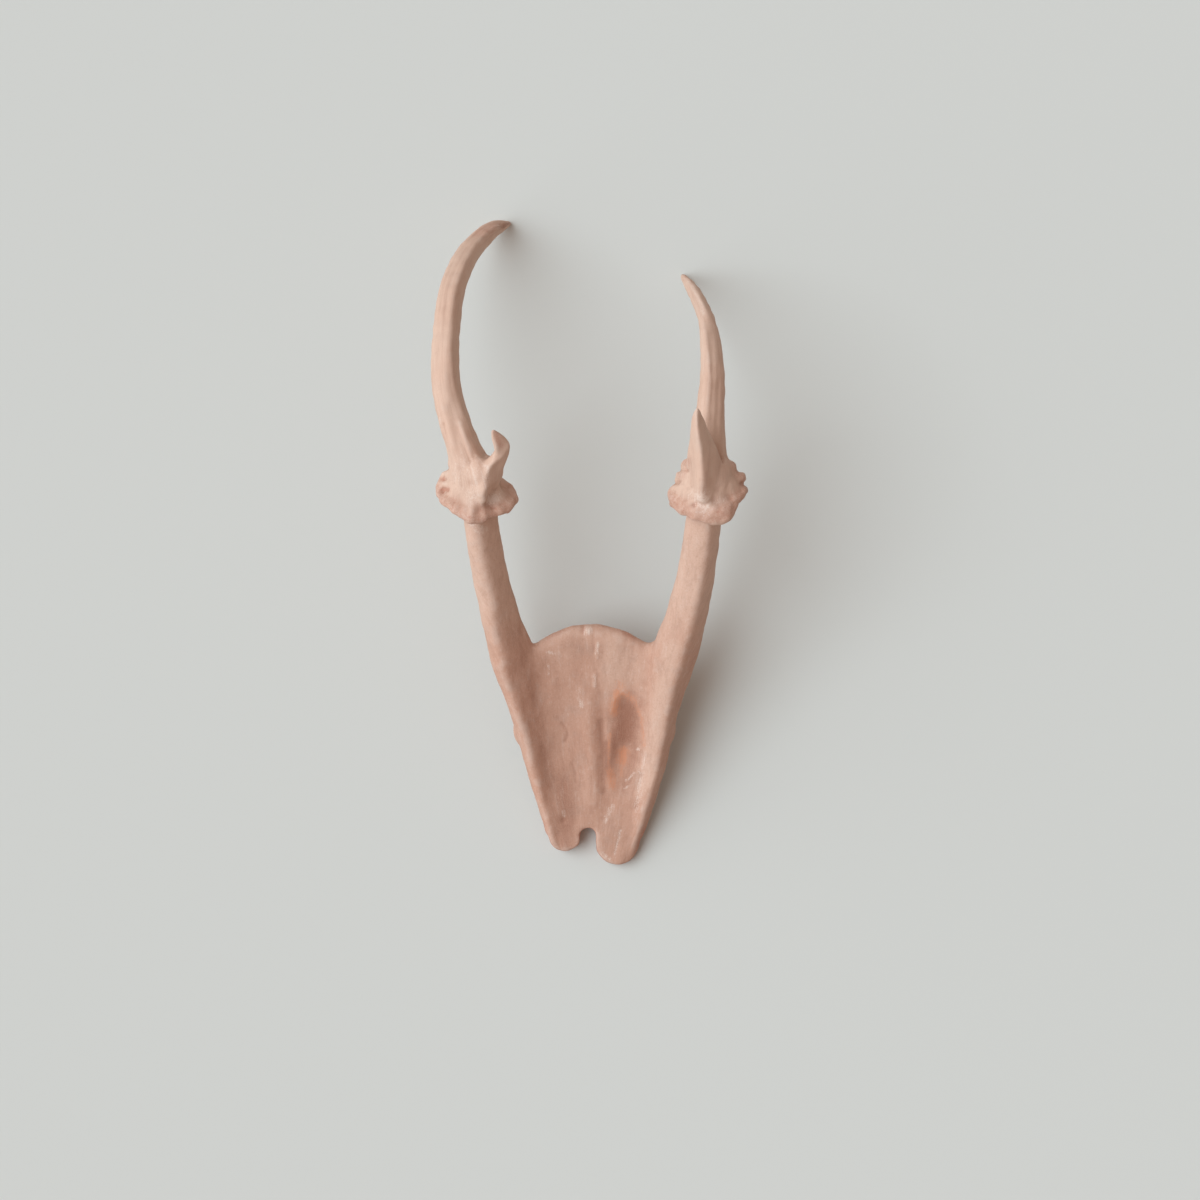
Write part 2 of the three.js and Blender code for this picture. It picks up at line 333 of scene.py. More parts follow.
@dataclass(frozen=True)
class Keel:
    """A blunt edge that runs along a limb.

    Attributes:
        angle: Where it sits, in degrees from the front towards the right.
        rise: Share of the radius that it adds.
        spread: Its half width, in degrees.
        span: Where along the limb it starts and ends, as shares of the length.
    """

    angle: float
    rise: float
    spread: float
    span: Pair = (-1.0, 2.0)


@dataclass(frozen=True)
class Facet:
    """A flat face that runs along a limb.

    Attributes:
        angle: Which way it faces, in degrees from the front towards the right.
        away: Its distance from the limb's line, as a share of the radius.
        span: Where along the limb it starts and ends, as shares of the length.
        crisp: How sharp its edges are; low values round them off.
    """

    angle: float
    away: float
    span: Pair = (-1.0, 2.0)
    crisp: float = 14.0


@dataclass
class Limb:
    """A bone or antler drawn out ring by ring along a line.

    Attributes:
        name: Name of the piece.
        stations: The line and the sizes along it.
        keels: Blunt edges along the limb.
        facets: Flat faces along the limb.
        rings: Number of rings drawn.
        sides: Corners of each ring.
        FADE: Share of the length over which an edge or face runs out.
    """

    FADE: ClassVar[float] = 0.16

    name: str
    stations: Sequence[Station]
    keels: Sequence[Keel] = ()
    facets: Sequence[Facet] = ()
    rings: int = 44
    sides: int = 72

    def __post_init__(self) -> None:
        """Samples the line and the frame that travels along it."""
        self.rows = spline(np.array(self.stations, float), LINE_SAMPLES * self.rings)
        self.line = self.rows[:, :3]
        self.along = unit(np.gradient(self.line, axis=0))
        self.across = unit(np.cross(self.along, UP))
        self.front = np.cross(self.across, self.along)
        steps = np.linalg.norm(np.diff(self.line, axis=0), axis=1)
        self.run = np.concatenate([[0.0], np.cumsum(steps)])

    def build(self) -> Piece:
        """Draws the limb out of one ring.

        Returns:
            The closed limb.
        """
        circle = bpy.ops.mesh.primitive_circle_add
        piece = primitive(self.name, circle, vertices=self.sides, radius=1.0, fill_type="NGON")
        picks = np.linspace(0, len(self.rows) - 1, self.rings).round().astype(int)
        here, pitch, yaw, wide, deep = Vector(ORIGIN), 0.0, 0.0, 1.0, 1.0
        with editing(piece):
            for count, i in enumerate(picks):
                if count:
                    bpy.ops.mesh.extrude_region_move()
                heading = self.along[i]
                place = Vector(self.line[i])
                turn(-yaw, "Z", here)
                turn(-pitch, "X", here)
                stretch = (self.rows[i, 3] / wide, self.rows[i, 4] / deep, 1.0)
                bpy.ops.transform.resize(value=stretch, center_override=here)
                pitch = -math.acos(max(-1.0, min(1.0, heading[2])))
                yaw = math.atan2(-heading[0], heading[1])
                turn(pitch, "X", here)
                turn(yaw, "Z", here)
                bpy.ops.transform.translate(value=place - here)
                here, wide, deep = place, self.rows[i, 3], self.rows[i, 4]
            bpy.ops.mesh.select_all(action="SELECT")
            bpy.ops.mesh.normals_make_consistent(inside=False)
        chisel = Chisel(piece)
        index = np.repeat(picks, self.sides)
        away = chisel.places - self.line[index]
        forward = (away * self.front[index]).sum(1) / self.rows[index, 4]
        sideways = (away * self.across[index]).sum(1) / self.rows[index, 3]
        share = self.reach(np.arctan2(sideways, forward), self.run[index] / self.run[-1])
        chisel.places = self.line[index] + away * share[:, None]
        chisel.refresh()
        return piece

    def reach(self, angle: Array, along: Array) -> Array:
        """Share of the radius that the section reaches.

        Args:
            angle: Angles from the front.
            along: Shares of the limb's length.

        Returns:
            The shares.
        """
        share = np.ones(len(angle))
        for keel in self.keels:
            bump = bell(wrap(angle - math.radians(keel.angle)), math.radians(keel.spread))
            share += keel.rise * bump * self.within(along, keel.span)
        for facet in self.facets:
            lean = np.maximum(np.cos(angle - math.radians(facet.angle)), 0.0) / facet.away
            held = self.within(along, facet.span) * lean**facet.crisp
            share = (share**-facet.crisp + held) ** (-1.0 / facet.crisp)
        return share

    def within(self, along: Array, span: Pair) -> Array:
        """1 inside a span of the length, falling to 0 outside it."""
        start, end = span
        return ramp(along, start - self.FADE, start) * (1.0 - ramp(along, end, end + self.FADE))

    def locate(self, places: Array) -> tuple[Array, Array, Array]:
        """Finds places in the limb's own terms.

        Args:
            places: Rows of x, y, z.

        Returns:
            The index of the nearest sample, the angle from the front and the distance
            from the line, for each place.
        """
        gap = (places**2).sum(1)[:, None] - 2.0 * places @ self.line.T + (self.line**2).sum(1)
        index = gap.argmin(1)
        away = places - self.line[index]
        forward = (away * self.front[index]).sum(1)
        sideways = (away * self.across[index]).sum(1)
        return index, np.arctan2(sideways, forward), np.hypot(forward, sideways)


@dataclass(frozen=True)
class Stroke:
    """A groove, pit or raised line worked into the upper face, drawn in plan.

    Attributes:
        path: Points of the line; one point makes a round pit or bump.
        half: Half width.
        rise: Height added along the surface normal; below zero cuts in.
        hard: Steepness of the sides.
        through: Whether it also cuts the sides below it, as a notch in a rim.
    """

    path: Plan
    half: float
    rise: float
    hard: float = 2.0
    through: bool = False


@dataclass(frozen=True)
class Mark:
    """A mark in the coat, drawn in plan on the upper face.

    Attributes:
        paint: What kind of mark it is.
        path: Points of the line.
        half: Half width.
        strength: How strong it shows, from 0 to 1.
        hard: Steepness of its edge.
    """

    paint: Paint
    path: Plan
    half: float
    strength: float
    hard: float = 2.0


class Chisel:
    """Works the surface of a finished skin and keeps its paint.

    Attributes:
        UPWARD: How far up a normal leans where the upper face starts and where it is full.
    """

    UPWARD: ClassVar[Pair] = (0.05, 0.4)

    def __init__(self, piece: Piece) -> None:
        """Reads the places, normals and edges of a piece."""
        self.piece = piece
        mesh = piece.data
        self.places = self._read(mesh.vertices, "co", 3).astype(float)
        self.edges = self._read(mesh.edges, "vertices", 2, np.int32)
        self.degree = np.maximum(np.bincount(self.edges.ravel(), minlength=len(self.places)), 1)
        self.paint = {kind: np.zeros(len(self.places)) for kind in Paint}
        self.refresh()

    @staticmethod
    def _read(items: Any, name: str, width: int, kind: Any = np.float32) -> Array:
        """One array of a mesh's data."""
        values = np.zeros(len(items) * width, kind)
        items.foreach_get(name, values)
        return values.reshape(-1, width)

    def refresh(self) -> None:
        """Writes the places to the mesh and reads the new normals."""
        mesh = self.piece.data
        mesh.vertices.foreach_set("co", self.places.astype(np.float32).ravel())
        mesh.update()
        self.normals = self._read(mesh.vertices, "normal", 3).astype(float)

    def lift(self, rise: Array) -> None:
        """Moves every place along its normal."""
        self.places = self.places + self.normals * rise[:, None]
        self.refresh()

    def rest_on_floor(self) -> None:
        """Flattens what would reach below the floor."""
        self.places[:, 2] = np.maximum(self.places[:, 2], 0.0)
        self.refresh()

    def upper(self) -> Array:
        """1 on faces that look up, falling to 0 on the sides."""
        return ramp(self.normals[:, 2], *self.UPWARD)

    def press(self, strokes: Sequence[Stroke]) -> None:
        """Works a set of strokes into the upper face."""
        rise = np.zeros(len(self.places))
        upper = self.upper()
        for stroke in strokes:
            veil = bell(plan_distance(self.places, stroke.path), stroke.half, stroke.hard)
            rise += stroke.rise * veil * (1.0 if stroke.through else upper)
        self.lift(rise)

    def touch(self, marks: Sequence[Mark]) -> None:
        """Paints a set of marks on the upper face."""
        upper = self.upper()
        for mark in marks:
            veil = mark.strength * upper * bell(plan_distance(self.places, mark.path), mark.half, mark.hard)
            self.paint[mark.paint] = np.maximum(self.paint[mark.paint], veil)

    def around(self, values: Array) -> Array:
        """Mean of each vertex's neighbours."""
        a, b = self.edges.T
        count = len(self.places)
        return (np.bincount(a, values[b], count) + np.bincount(b, values[a], count)) / self.degree

    def spread(self, values: Array, rounds: int) -> Array:
        """Values evened out over the neighbours, a number of times."""
        for _ in range(rounds):
            values = 0.5 * values + 0.5 * self.around(values)
        return values

    def smooth(self, strength: float) -> None:
        """Moves every place towards its neighbours, by half the strength."""
        mean = np.stack([self.around(column) for column in self.places.T], 1)
        self.places = self.places + 0.5 * strength * (mean - self.places)
        self.refresh()

    def read_relief(self, rounds: int = 4, scale: float = 0.03) -> None:
        """Notes painted shade in the hollows, and paled crests that are partly wear and partly painted
        highlight, from how the surface bends.

        Args:
            rounds: How far the bend is evened out.
            scale: Bend, in millimetres of sink below the neighbours, that counts as full.
        """
        sink = np.zeros(len(self.places))
        for column, normal in zip(self.places.T, self.normals.T):
            sink += (self.around(column) - column) * normal
        bend = self.spread(sink, rounds) / scale
        # Painted shade: concave places are darkened in the coat.
        self.paint[Paint.HOLLOW_SHADE] = np.clip(bend, 0.0, 1.0)
        # Convex crests are paled: partly wear, partly painted highlight.
        self.paint[Paint.CREST_WEAR_AND_HIGHLIGHT] = np.clip(-bend, 0.0, 1.0)

    def store(self, grain_lines: Array) -> None:
        """Keeps the paint and the direction of the brush lines on the mesh.

        Args:
            grain_lines: For each vertex, two places across the brush lines and one along.
        """
        mesh = self.piece.data
        for kind, values in self.paint.items():
            layer = mesh.attributes.new(kind.value, "FLOAT", "POINT")
            layer.data.foreach_set("value", values.astype(np.float32))
        layer = mesh.attributes.new("grain_lines", "FLOAT_VECTOR", "POINT")
        layer.data.foreach_set("vector", grain_lines.astype(np.float32).ravel())


# Finishes


def linear(red: int, green: int, blue: int) -> tuple[float, float, float, float]:
    """A screen colour from 0 to 255 as the shader's linear colour."""
    parts = [c / 255 for c in (red, green, blue)]
    return (*(c / 12.92 if c <= 0.04045 else ((c + 0.055) / 1.055) ** 2.4 for c in parts), 1.0)


class Grain(NamedTuple):
    """A cloudy grain: its scale in cycles per millimetre, its detail and its roughness."""

    scale: float
    detail: float
    rough: float


class NodeBench:
    """Short ways to lay out the nodes of one material."""

    def __init__(self, name: str) -> None:
        """Starts a material with its own shader."""
        self.material = bpy.data.materials.new(name)
        self.material.use_nodes = True
        self.nodes = self.material.node_tree.nodes
        self.links = self.material.node_tree.links
        self.shader = self.nodes["Principled BSDF"]

    def add(self, kind: str, inputs: dict[Any, Any], **fields: Any) -> bpy.types.Node:
        """Adds a node.

        Args:
            kind: Blender's name of the node.
            inputs: For each socket, a plain value or the output that feeds it.
            **fields: Settings of the node itself.

        Returns:
            The node.
        """
        node = self.nodes.new(kind)
        for name, value in fields.items():
            setattr(node, name, value)
        for socket, value in inputs.items():
            if isinstance(value, bpy.types.NodeSocket):
                self.links.new(value, node.inputs[socket])
            else:
                node.inputs[socket].default_value = value
        return node

    def noise(self, vector: Any, grain: Grain) -> Any:
        """Cloudy noise from about 0.25 to 0.75."""
        inputs = {"Vector": vector, "Scale": grain.scale, "Detail": grain.detail, "Roughness": grain.rough}
        return self.add("ShaderNodeTexNoise", inputs).outputs["Fac"]

    def fit(self, value: Any, low: float, high: float, to_low: float, to_high: float) -> Any:
        """A value brought from one range to another and held there."""
        inputs = {0: value, 1: low, 2: high, 3: to_low, 4: to_high}
        return self.add("ShaderNodeMapRange", inputs, interpolation_type="SMOOTHSTEP").outputs[0]

    def sum(self, operation: str, a: Any, b: Any) -> Any:
        """One step of arithmetic on two values."""
        return self.add("ShaderNodeMath", {0: a, 1: b}, operation=operation).outputs[0]

    def tint(self, share: Any, below: Any, above: Any) -> Any:
        """One colour laid over another."""
        node = self.add("ShaderNodeMix", {0: share, 6: below, 7: above}, data_type="RGBA")
        return node.outputs[2]

    def kept(self, name: str) -> bpy.types.Node:
        """Reads what a piece keeps on its mesh."""
        return self.add("ShaderNodeAttribute", {}, attribute_name=name)


@dataclass(frozen=True)
class ClayFinish:
    """A matt clay-pink coat, brushed on along the bone and rubbed pale on its edges, with painted shade in
    its hollows and painted highlight on its crests and lit patches.

    Attributes:
        name: Name of the material.
        body: Main colour of the coat.
        warm: Redder cast that drifts over it.
        ash: Greyer, thinner cast.
        pale: Rubbed edges and chalky scratches, and the painted highlight on crests and lit faces.
        deep: Darker colour of the brush lines, grit and specks, and the painted shade in the hollows.
        scrape: Bare terracotta where the coat is scraped through.
        smudge_and_shade: Grey-brown dirt, also laid as painted shade in hollows and on walls turned from the
            light.
        rust: Reddish rims.
        bleach: Paler coat towards the antlers.
        streak: Strength of the fine brush lines' colour.
        speck: Strength of the fine pale and dark specks.
        clouds: Grain of the warm cast.
        patches: Grain of the ash cast.
        brush: Grain of the brush lines.
        hairs: Grain of the fine brush lines.
        grit: Grain of the fine dirt.
        stipple: Grain of the specks.
        roughness: Roughness where the grit is low and where it is high.
        shine: Strength of the gloss.
        brush_depth: Depth of the brush lines.
        hair_relief: Depth of the fine lines, as a share of that.
        grit_relief: Depth of the grit, as a share of that.
    """

    name: str
    body: Tone = (198, 155, 134)
    warm: Tone = (197, 151, 129)
    ash: Tone = (190, 156, 139)
    pale: Tone = (226, 204, 190)
    deep: Tone = (158, 112, 92)
    scrape: Tone = (210, 145, 112)
    smudge_and_shade: Tone = (148, 100, 79)
    rust: Tone = (176, 108, 86)
    bleach: Tone = (213, 178, 158)
    streak: float = 0.28
    speck: float = 0.15
    clouds: Grain = Grain(0.045, 2.0, 0.5)
    patches: Grain = Grain(0.16, 4.0, 0.6)
    brush: Grain = Grain(0.55, 5.0, 0.62)
    hairs: Grain = Grain(2.1, 3.0, 0.6)
    grit: Grain = Grain(2.4, 3.0, 0.65)
    stipple: Grain = Grain(1.4, 2.0, 0.6)
    roughness: Pair = (0.64, 0.82)
    shine: float = 0.35
    brush_depth: float = 0.09
    hair_relief: float = 0.35
    grit_relief: float = 0.25

    def make(self) -> bpy.types.Material:
        """Lays out the material.

        Returns:
            The finished material.
        """
        bench = NodeBench(self.name)
        metres = bench.add("ShaderNodeTexCoord", {}).outputs["Object"]
        place = bench.add("ShaderNodeMapping", {"Vector": metres, "Scale": (1.0 / MM,) * 3}).outputs[0]
        lines = bench.kept("grain_lines").outputs["Vector"]
        clouds, patches, grit, stipple = (
            bench.noise(place, grain) for grain in (self.clouds, self.patches, self.grit, self.stipple)
        )
        brush, hairs = (bench.noise(lines, grain) for grain in (self.brush, self.hairs))
        warmth = bench.fit(clouds, 0.38, 0.64, 0.0, 0.7)
        colour = bench.tint(warmth, linear(*self.body), linear(*self.warm))
        colour = bench.tint(bench.kept(Paint.BLEACH.value).outputs["Fac"], colour, linear(*self.bleach))
        for grain, low, high, at_low, at_high, tone in (
            (patches, 0.5, 0.72, 0.0, 0.4, self.ash),
            (brush, 0.3, 0.5, 0.22, 0.0, self.deep),
            (brush, 0.54, 0.74, 0.0, 0.25, self.pale),
            (hairs, 0.55, 0.75, 0.0, self.streak, self.pale),
            (hairs, 0.25, 0.42, 0.8 * self.streak, 0.0, self.deep),
            (grit, 0.3, 0.46, 0.14, 0.0, self.deep),
            (stipple, 0.28, 0.48, self.speck, 0.0, self.deep),
            (stipple, 0.54, 0.74, 0.0, self.speck, self.pale),
        ):
            colour = bench.tint(bench.fit(grain, low, high, at_low, at_high), colour, linear(*tone))
        colour = self._marks(bench, colour, patches, hairs, grit)
        bench.links.new(colour, bench.shader.inputs["Base Color"])
        bench.links.new(bench.fit(grit, 0.3, 0.7, *self.roughness), bench.shader.inputs["Roughness"])
        bench.shader.inputs["Specular IOR Level"].default_value = self.shine
        relief = brush
        for grain, share in ((hairs, self.hair_relief), (grit, self.grit_relief)):
            relief = bench.sum("ADD", relief, bench.sum("MULTIPLY", grain, share))
        bump = bench.add(
            "ShaderNodeBump", {"Strength": 1.0, "Distance": self.brush_depth * MM, "Height": relief}
        )
        bench.links.new(bump.outputs[0], bench.shader.inputs["Normal"])
        return bench.material

    def _marks(self, bench: NodeBench, colour: Any, patches: Any, hairs: Any, grit: Any) -> Any:
        """Lays painted shade in the hollows, paled crests that are partly worn edges and partly painted
        highlight, and the marks, over the coat.

        Args:
            bench: The material's bench.
            colour: The coat so far.
            patches: Cloudy noise of a few millimetres.
            hairs: Fine brush lines.
            grit: Fine grain.

        Returns:
            The coat with its marks.
        """
        # Painted shade in the hollows.
        hollow_shade = bench.kept(Paint.HOLLOW_SHADE.value).outputs["Fac"]
        colour = bench.tint(bench.fit(hollow_shade, 0.05, 1.0, 0.0, 0.4), colour, linear(*self.deep))
        # Paled crests: worn edges and painted highlight.
        crest = bench.kept(Paint.CREST_WEAR_AND_HIGHLIGHT.value).outputs["Fac"]
        worn_and_highlight = bench.sum("MULTIPLY", crest, bench.fit(patches, 0.35, 0.6, 0.25, 1.0))
        colour = bench.tint(bench.fit(worn_and_highlight, 0.15, 1.0, 0.0, 0.25), colour, linear(*self.pale))
        for kind, tone, cover, rag in (
            # Smudges: dirt, and painted shade.
            (Paint.SMUDGE_AND_SHADE, self.smudge_and_shade, 0.85, 0.1),
            (Paint.RUST, self.rust, 0.7, 0.14),
            (Paint.SCRAPE, self.scrape, 0.9, 0.22),
            # Chalk: pale scratches, and painted highlight on lit faces.
            (Paint.CHALK_AND_HIGHLIGHT, self.pale, 0.85, 0.28),
        ):
            strength = bench.kept(kind.value).outputs["Fac"]
            ragged = bench.sum("ADD", strength, bench.fit(hairs, 0.3, 0.7, -rag, rag))
            ragged = bench.sum("ADD", ragged, bench.fit(grit, 0.3, 0.7, -rag, rag))
            ragged = bench.sum("MULTIPLY", ragged, bench.fit(strength, 0.0, 0.15, 0.0, 1.0))
            colour = bench.tint(bench.fit(ragged, 0.05, 0.95, 0.0, cover), colour, linear(*tone))
        return colour


# The skull plate


def ridge_of(side: Side) -> Limb:
    """The brow ridge and pedicle of one side, from the nose end to the burr.

    Args:
        side: Which side.

    Returns:
        The limb.
    """
    if side is Side.LEFT:
        stations = (
            Station(-9.4, -126.0, 0.5, 3.4, 3.0),
            Station(-20.1, -84.0, 15.5, 4.8, 5.8),
            Station(-24.4, -63.0, 23.0, 6.4, 7.2),
            Station(-29.0, -42.5, 31.5, 8.9, 8.2),
            Station(-32.6, -30.0, 37.5, 7.8, 7.75),
            Station(-36.3, -14.5, 45.0, 7.2, 7.2),
            Station(-41.2, 17.0, 61.0, 6.7, 6.8),
        )
        keel = Keel(-36.0, 0.05, 30.0)
        facets = (
            Facet(34.0, 0.72, (-1.0, 0.42), 7.0),
            Facet(36.0, 0.54, (0.5, 0.58), 7.0),
            Facet(52.0, 0.62, (0.64, 2.0), 5.0),
        )
    else:
        stations = (
            Station(12.4, -126.0, 0.5, 3.6, 3.0),
            Station(24.4, -84.0, 15.5, 5.0, 5.8),
            Station(27.6, -63.0, 23.0, 6.6, 7.2),
            Station(32.0, -42.5, 31.5, 8.9, 8.2),
            Station(35.7, -30.0, 37.5, 8.2, 7.7),
            Station(39.2, -14.5, 45.0, 7.4, 7.0),
            Station(43.1, 17.0, 61.0, 6.8, 6.6),
        )
        keel = Keel(20.0, 0.10, 34.0)
        facets = (Facet(-20.0, 0.95), Facet(62.0, 0.85, crisp=8.0))
    return Limb(f"{side.value}_ridge", stations, (keel,), facets)


@dataclass
class SkullBone:
    """Forehead plate, brow ridges and pedicles, one grown bone.

    Attributes:
        nose_y: Where the forehead's block starts.
        nose_top: Height of its surface there.
        rear_top: Height at the rear arch.
        sag: How far the trough dips along its length.
        rear_y: Rear edge at the ridges.
        arch_rise: How far the middle of the rear edge stands behind that.
        arch_lean: How far the arch's top lies to the left, as a share of its half width.
        arch_fillet: Fillets where the arch runs into the left and the right ridge.
        fillet_from: Where the two fillets start, as shares of the arch's half width.
        fillet_run: How far they run from there to their full height.
        fillet_limit: Where along that run they stop growing.
        wall_power: How suddenly each wall of the trough climbs; higher is more sudden.
        wall_share: Share of each ridge's half depth that they climb to.
        tuck: How far the block's edges dive into the ridges.
        tuck_from: Where they start to, as a share of the half width.
        cuts: Cuts of the block across and along.
        crowd: How much its rows crowd together at the rear; 1 is not at all.
        rear_round: Rounding of the rear edge.
        under_from: Where the underside starts to lift.
        under_rise: Its height at the rear.
        under_back: How far its rear edge is set back.
        under_curl: How far it curls up at the ridges.
        middle_x: Where the skull's middle lies.
        socket_at: Middle of the right eye socket's scoop, from there; the left one mirrors it.
        socket: Half sizes of the scoop.
        prongs: For each nose prong, the middle of its round end in plan and its half sizes.
        notch: Middle, inner end and half width of the slot between the prongs.
        knobs: Middles of the knobs under the brow ridges.
        knob: Half sizes of a knob.
        grain: Edge length of the skin.
        melt: How much the whole skin melts.
        melt_rounds: How often the melt is repeated.
        melt_from: Where along the skull it sets in at the foot of the walls.
        foot: Place and half width of the melt there, as shares of the half width.
        ripples: Waviness of the skin.
        even: Strength of the last smoothing.
        bleach: Strength of the paler coat.
        bleach_from: Where along the skull it sets in and where it is full.
        rim_rust: Strength of the rust round the nose prongs.
        rim_from: Where along the skull that sets in and where it is full.
        rim_lean: How far up a normal leans where it sets in and where it is full.
        brush: Pitch of the brush lines across, in height and along.
        ridges: The brow ridge and pedicle of each side.
    """

    nose_y: float = -124.0
    nose_top: float = 6.2
    rear_top: float = 33.5
    sag: float = 1.8
    rear_y: float = -48.0
    arch_rise: float = 17.0
    arch_lean: float = 0.05
    arch_fillet: Pair = (3.4, 6.4)
    fillet_from: Pair = (0.6, 0.55)
    fillet_run: float = 0.2
    fillet_limit: float = 1.35
    wall_power: Pair = (5.0, 3.3)
    wall_share: Pair = (0.9, 0.86)
    tuck: float = 3.0
    tuck_from: float = 0.92
    cuts: tuple[int, int] = (60, 70)
    crowd: float = 1.25
    rear_round: float = 6.0
    under_from: float = -112.0
    under_rise: float = 12.0
    under_back: float = 7.0
    under_curl: float = 0.6
    middle_x: float = -0.4
    socket_at: Triple = (37.0, -71.0, 1.0)
    socket: Triple = (17.0, 20.0, 15.5)
    prongs: Sequence[Plan] = (((-9.7, -112.0), (6.4, 6.4)), ((10.3, -113.5), (8.9, 10.2)))
    notch: Triple = (-1.0, -109.2, 3.2)
    knobs: Sequence[Triple] = ((-24.8, -70.5, 15.5), (28.0, -70.5, 15.5))
    knob: Triple = (4.6, 8.0, 4.2)
    grain: float = 0.6
    melt: float = 0.4
    melt_rounds: int = 30
    melt_from: Pair = (-125.0, -100.0)
    foot: Pair = (0.76, 0.2)
    ripples: Sequence[Ripple] = (Ripple(0.08, 11.0, 3), Ripple(0.035, 4.0, 5))
    even: float = 0.3
    bleach: float = 0.85
    bleach_from: Pair = (-52.0, -16.0)
    rim_rust: float = 0.7
    rim_from: Pair = (-100.0, -112.0)
    rim_lean: Pair = (0.75, 0.2)
    brush: Triple = (28.0, 0.6, 0.06)
    ridges: dict[Side, Limb] = field(default_factory=lambda: {side: ridge_of(side) for side in Side})

    def between(self, y: Array) -> tuple[Array, ...]:
        """Where the two ridges are at a distance along the skull.

        Args:
            y: Distances along the skull.

        Returns:
            The left ridge's x, height of its line and height of its wall, then the right's.
        """
        found = []
        for side, share in zip(Side, self.wall_share):
            rows = self.ridges[side].rows
            crest = rows[:, 2] + share * rows[:, 4]
            found += [np.interp(y, rows[:, 1], column) for column in (rows[:, 0], rows[:, 2], crest)]
        return tuple(found)

    def rear_edge(self, u: Array, filleted: bool) -> Array:
        """The rear edge in plan.

        Args:
            u: Places across, from -1 at the left ridge to 1 at the right.
            filleted: Whether it runs into the ridges with fillets.

        Returns:
            How far along the skull the edge is.
        """
        grown = (np.abs(u) - np.where(u < 0.0, *self.fillet_from)) / self.fillet_run
        grown = np.clip(grown, 0.0, self.fillet_limit)
        fillet = np.where(u < 0.0, *self.arch_fillet) * filleted
        arch = 1.0 - (u + self.arch_lean * (1.0 - u**2)) ** 2
        return self.rear_y + self.arch_rise * arch + fillet * grown**3

    def block(self) -> Piece:
        """The forehead between the ridges: a trough above, a curled underside, an arched rear.

        Returns:
            The closed block.
        """
        columns, rows = self.cuts
        grid = bpy.ops.mesh.primitive_grid_add
        piece = primitive("forehead", grid, x_subdivisions=columns, y_subdivisions=rows, size=2.0)
        with editing(piece):
            bpy.ops.mesh.extrude_region_move(TRANSFORM_OT_translate={"value": (0.0, 0.0, -1.0)})
        chisel = Chisel(piece)
        u = chisel.places[:, 0]
        v = 1.0 - (1.0 - (chisel.places[:, 1] + 1.0) / 2.0) ** self.crowd
        under = chisel.places[:, 2] < -0.5
        edge = self.rear_edge(u, True)
        rear = np.where(under, self.rear_edge(u, False) - self.under_back, edge)
        y = self.nose_y + (rear - self.nose_y) * v
        left_x, left_z, left_wall, right_x, right_z, right_wall = self.between(y)
        across = (1.0 + u) / 2.0
        x = left_x + (right_x - left_x) * across
        ridge_z = left_z + (right_z - left_z) * across
        wall = np.where(u < 0.0, left_wall, right_wall)
        climb = (y - self.nose_y) / (self.rear_y + self.arch_rise - self.nose_y)
        middle = self.nose_top + (self.rear_top - self.nose_top) * climb
        middle -= self.sag * 4.0 * climb * (1.0 - climb)
        power = np.where(u < 0.0, *self.wall_power)
        top = middle + (np.maximum(wall, middle) - middle) * np.abs(u) ** power
        top -= self.tuck * ramp(np.abs(u), self.tuck_from, 1.0)
        past = np.clip((y - edge + self.rear_round) / self.rear_round, 0.0, 1.0)
        top -= self.rear_round * (1.0 - np.sqrt(1.0 - past**2))
        lift = np.maximum(0.0, y - self.under_from) / (self.rear_y - self.under_from)
        low = self.under_rise * lift
        low = low + (ridge_z - low) * self.under_curl * u**4
        chisel.places = np.stack([x, y, np.where(under, low, top)], 1)
        chisel.refresh()
        with editing(piece):
            bpy.ops.mesh.normals_make_consistent(inside=False)
        return piece

    def nose_cutter(self, side: Side, centre: Sequence[float], halves: Sequence[float]) -> Piece:
        """A block with a round end scooped out, to round off one nose prong.

        Args:
            side: Which prong.
            centre: Middle of the prong's round end in plan.
            halves: Its half width and half length.

        Returns:
            The cutter.
        """
        spare, length, height = 4.0, 12.0, 30.0
        cutter = primitive(f"{side.value}_nose", bpy.ops.mesh.primitive_cube_add, size=2.0)
        outward = centre[0] + 0.5 * spare * side.sign
        set_out(cutter, (halves[0] + spare, length, height), (outward, centre[1] - length, 0.0))
        rod = bpy.ops.mesh.primitive_cylinder_add
        core = primitive(f"{side.value}_nose_core", rod, vertices=72, radius=1.0, depth=CUT_THROUGH)
        carve(cutter, set_out(core, (*halves, 1.0), (*centre, 0.0)))
        return cutter

    def notch_cutter(self, x: float, top: float, half: float) -> Piece:
        """A round-topped slot between the nose prongs.

        Args:
            x: Middle of the slot.
            top: Its inner end along the skull.
            half: Its half width.

        Returns:
            The cutter.
        """
        length = 24.0
        rod = bpy.ops.mesh.primitive_cylinder_add
        cutter = primitive("notch", rod, vertices=48, radius=half, depth=CUT_THROUGH)
        for corner in cutter.data.vertices:
            if corner.co.y < 0.0:
                corner.co.y -= length
        with editing(cutter):
            bpy.ops.transform.translate(value=(x, top - half, 0.0))
        return cutter

    def build(self) -> Piece:
        """Makes the bone's skin.

        Returns:
            The bone in millimetres, still without its finish.
        """
        forms = [self.block()] + [limb.build() for limb in self.ridges.values()]
        bone = fuse(forms, "skull_bone", self.grain)
        for side in Side:
            x, y, z = self.socket_at
            carve(bone, ball("socket", (side.sign * x + self.middle_x, y, z), self.socket))
        for side, prong in zip(Side, self.prongs):
            carve(bone, self.nose_cutter(side, *prong))
        carve(bone, self.notch_cutter(*self.notch))
        knobs = [ball(f"{side.value}_knob", spot, self.knob) for side, spot in zip(Side, self.knobs)]
        bone = fuse([bone] + knobs, "skull_bone", self.grain)
        LOG.info("skull_bone: %d vertices", len(bone.data.vertices))
        return bone

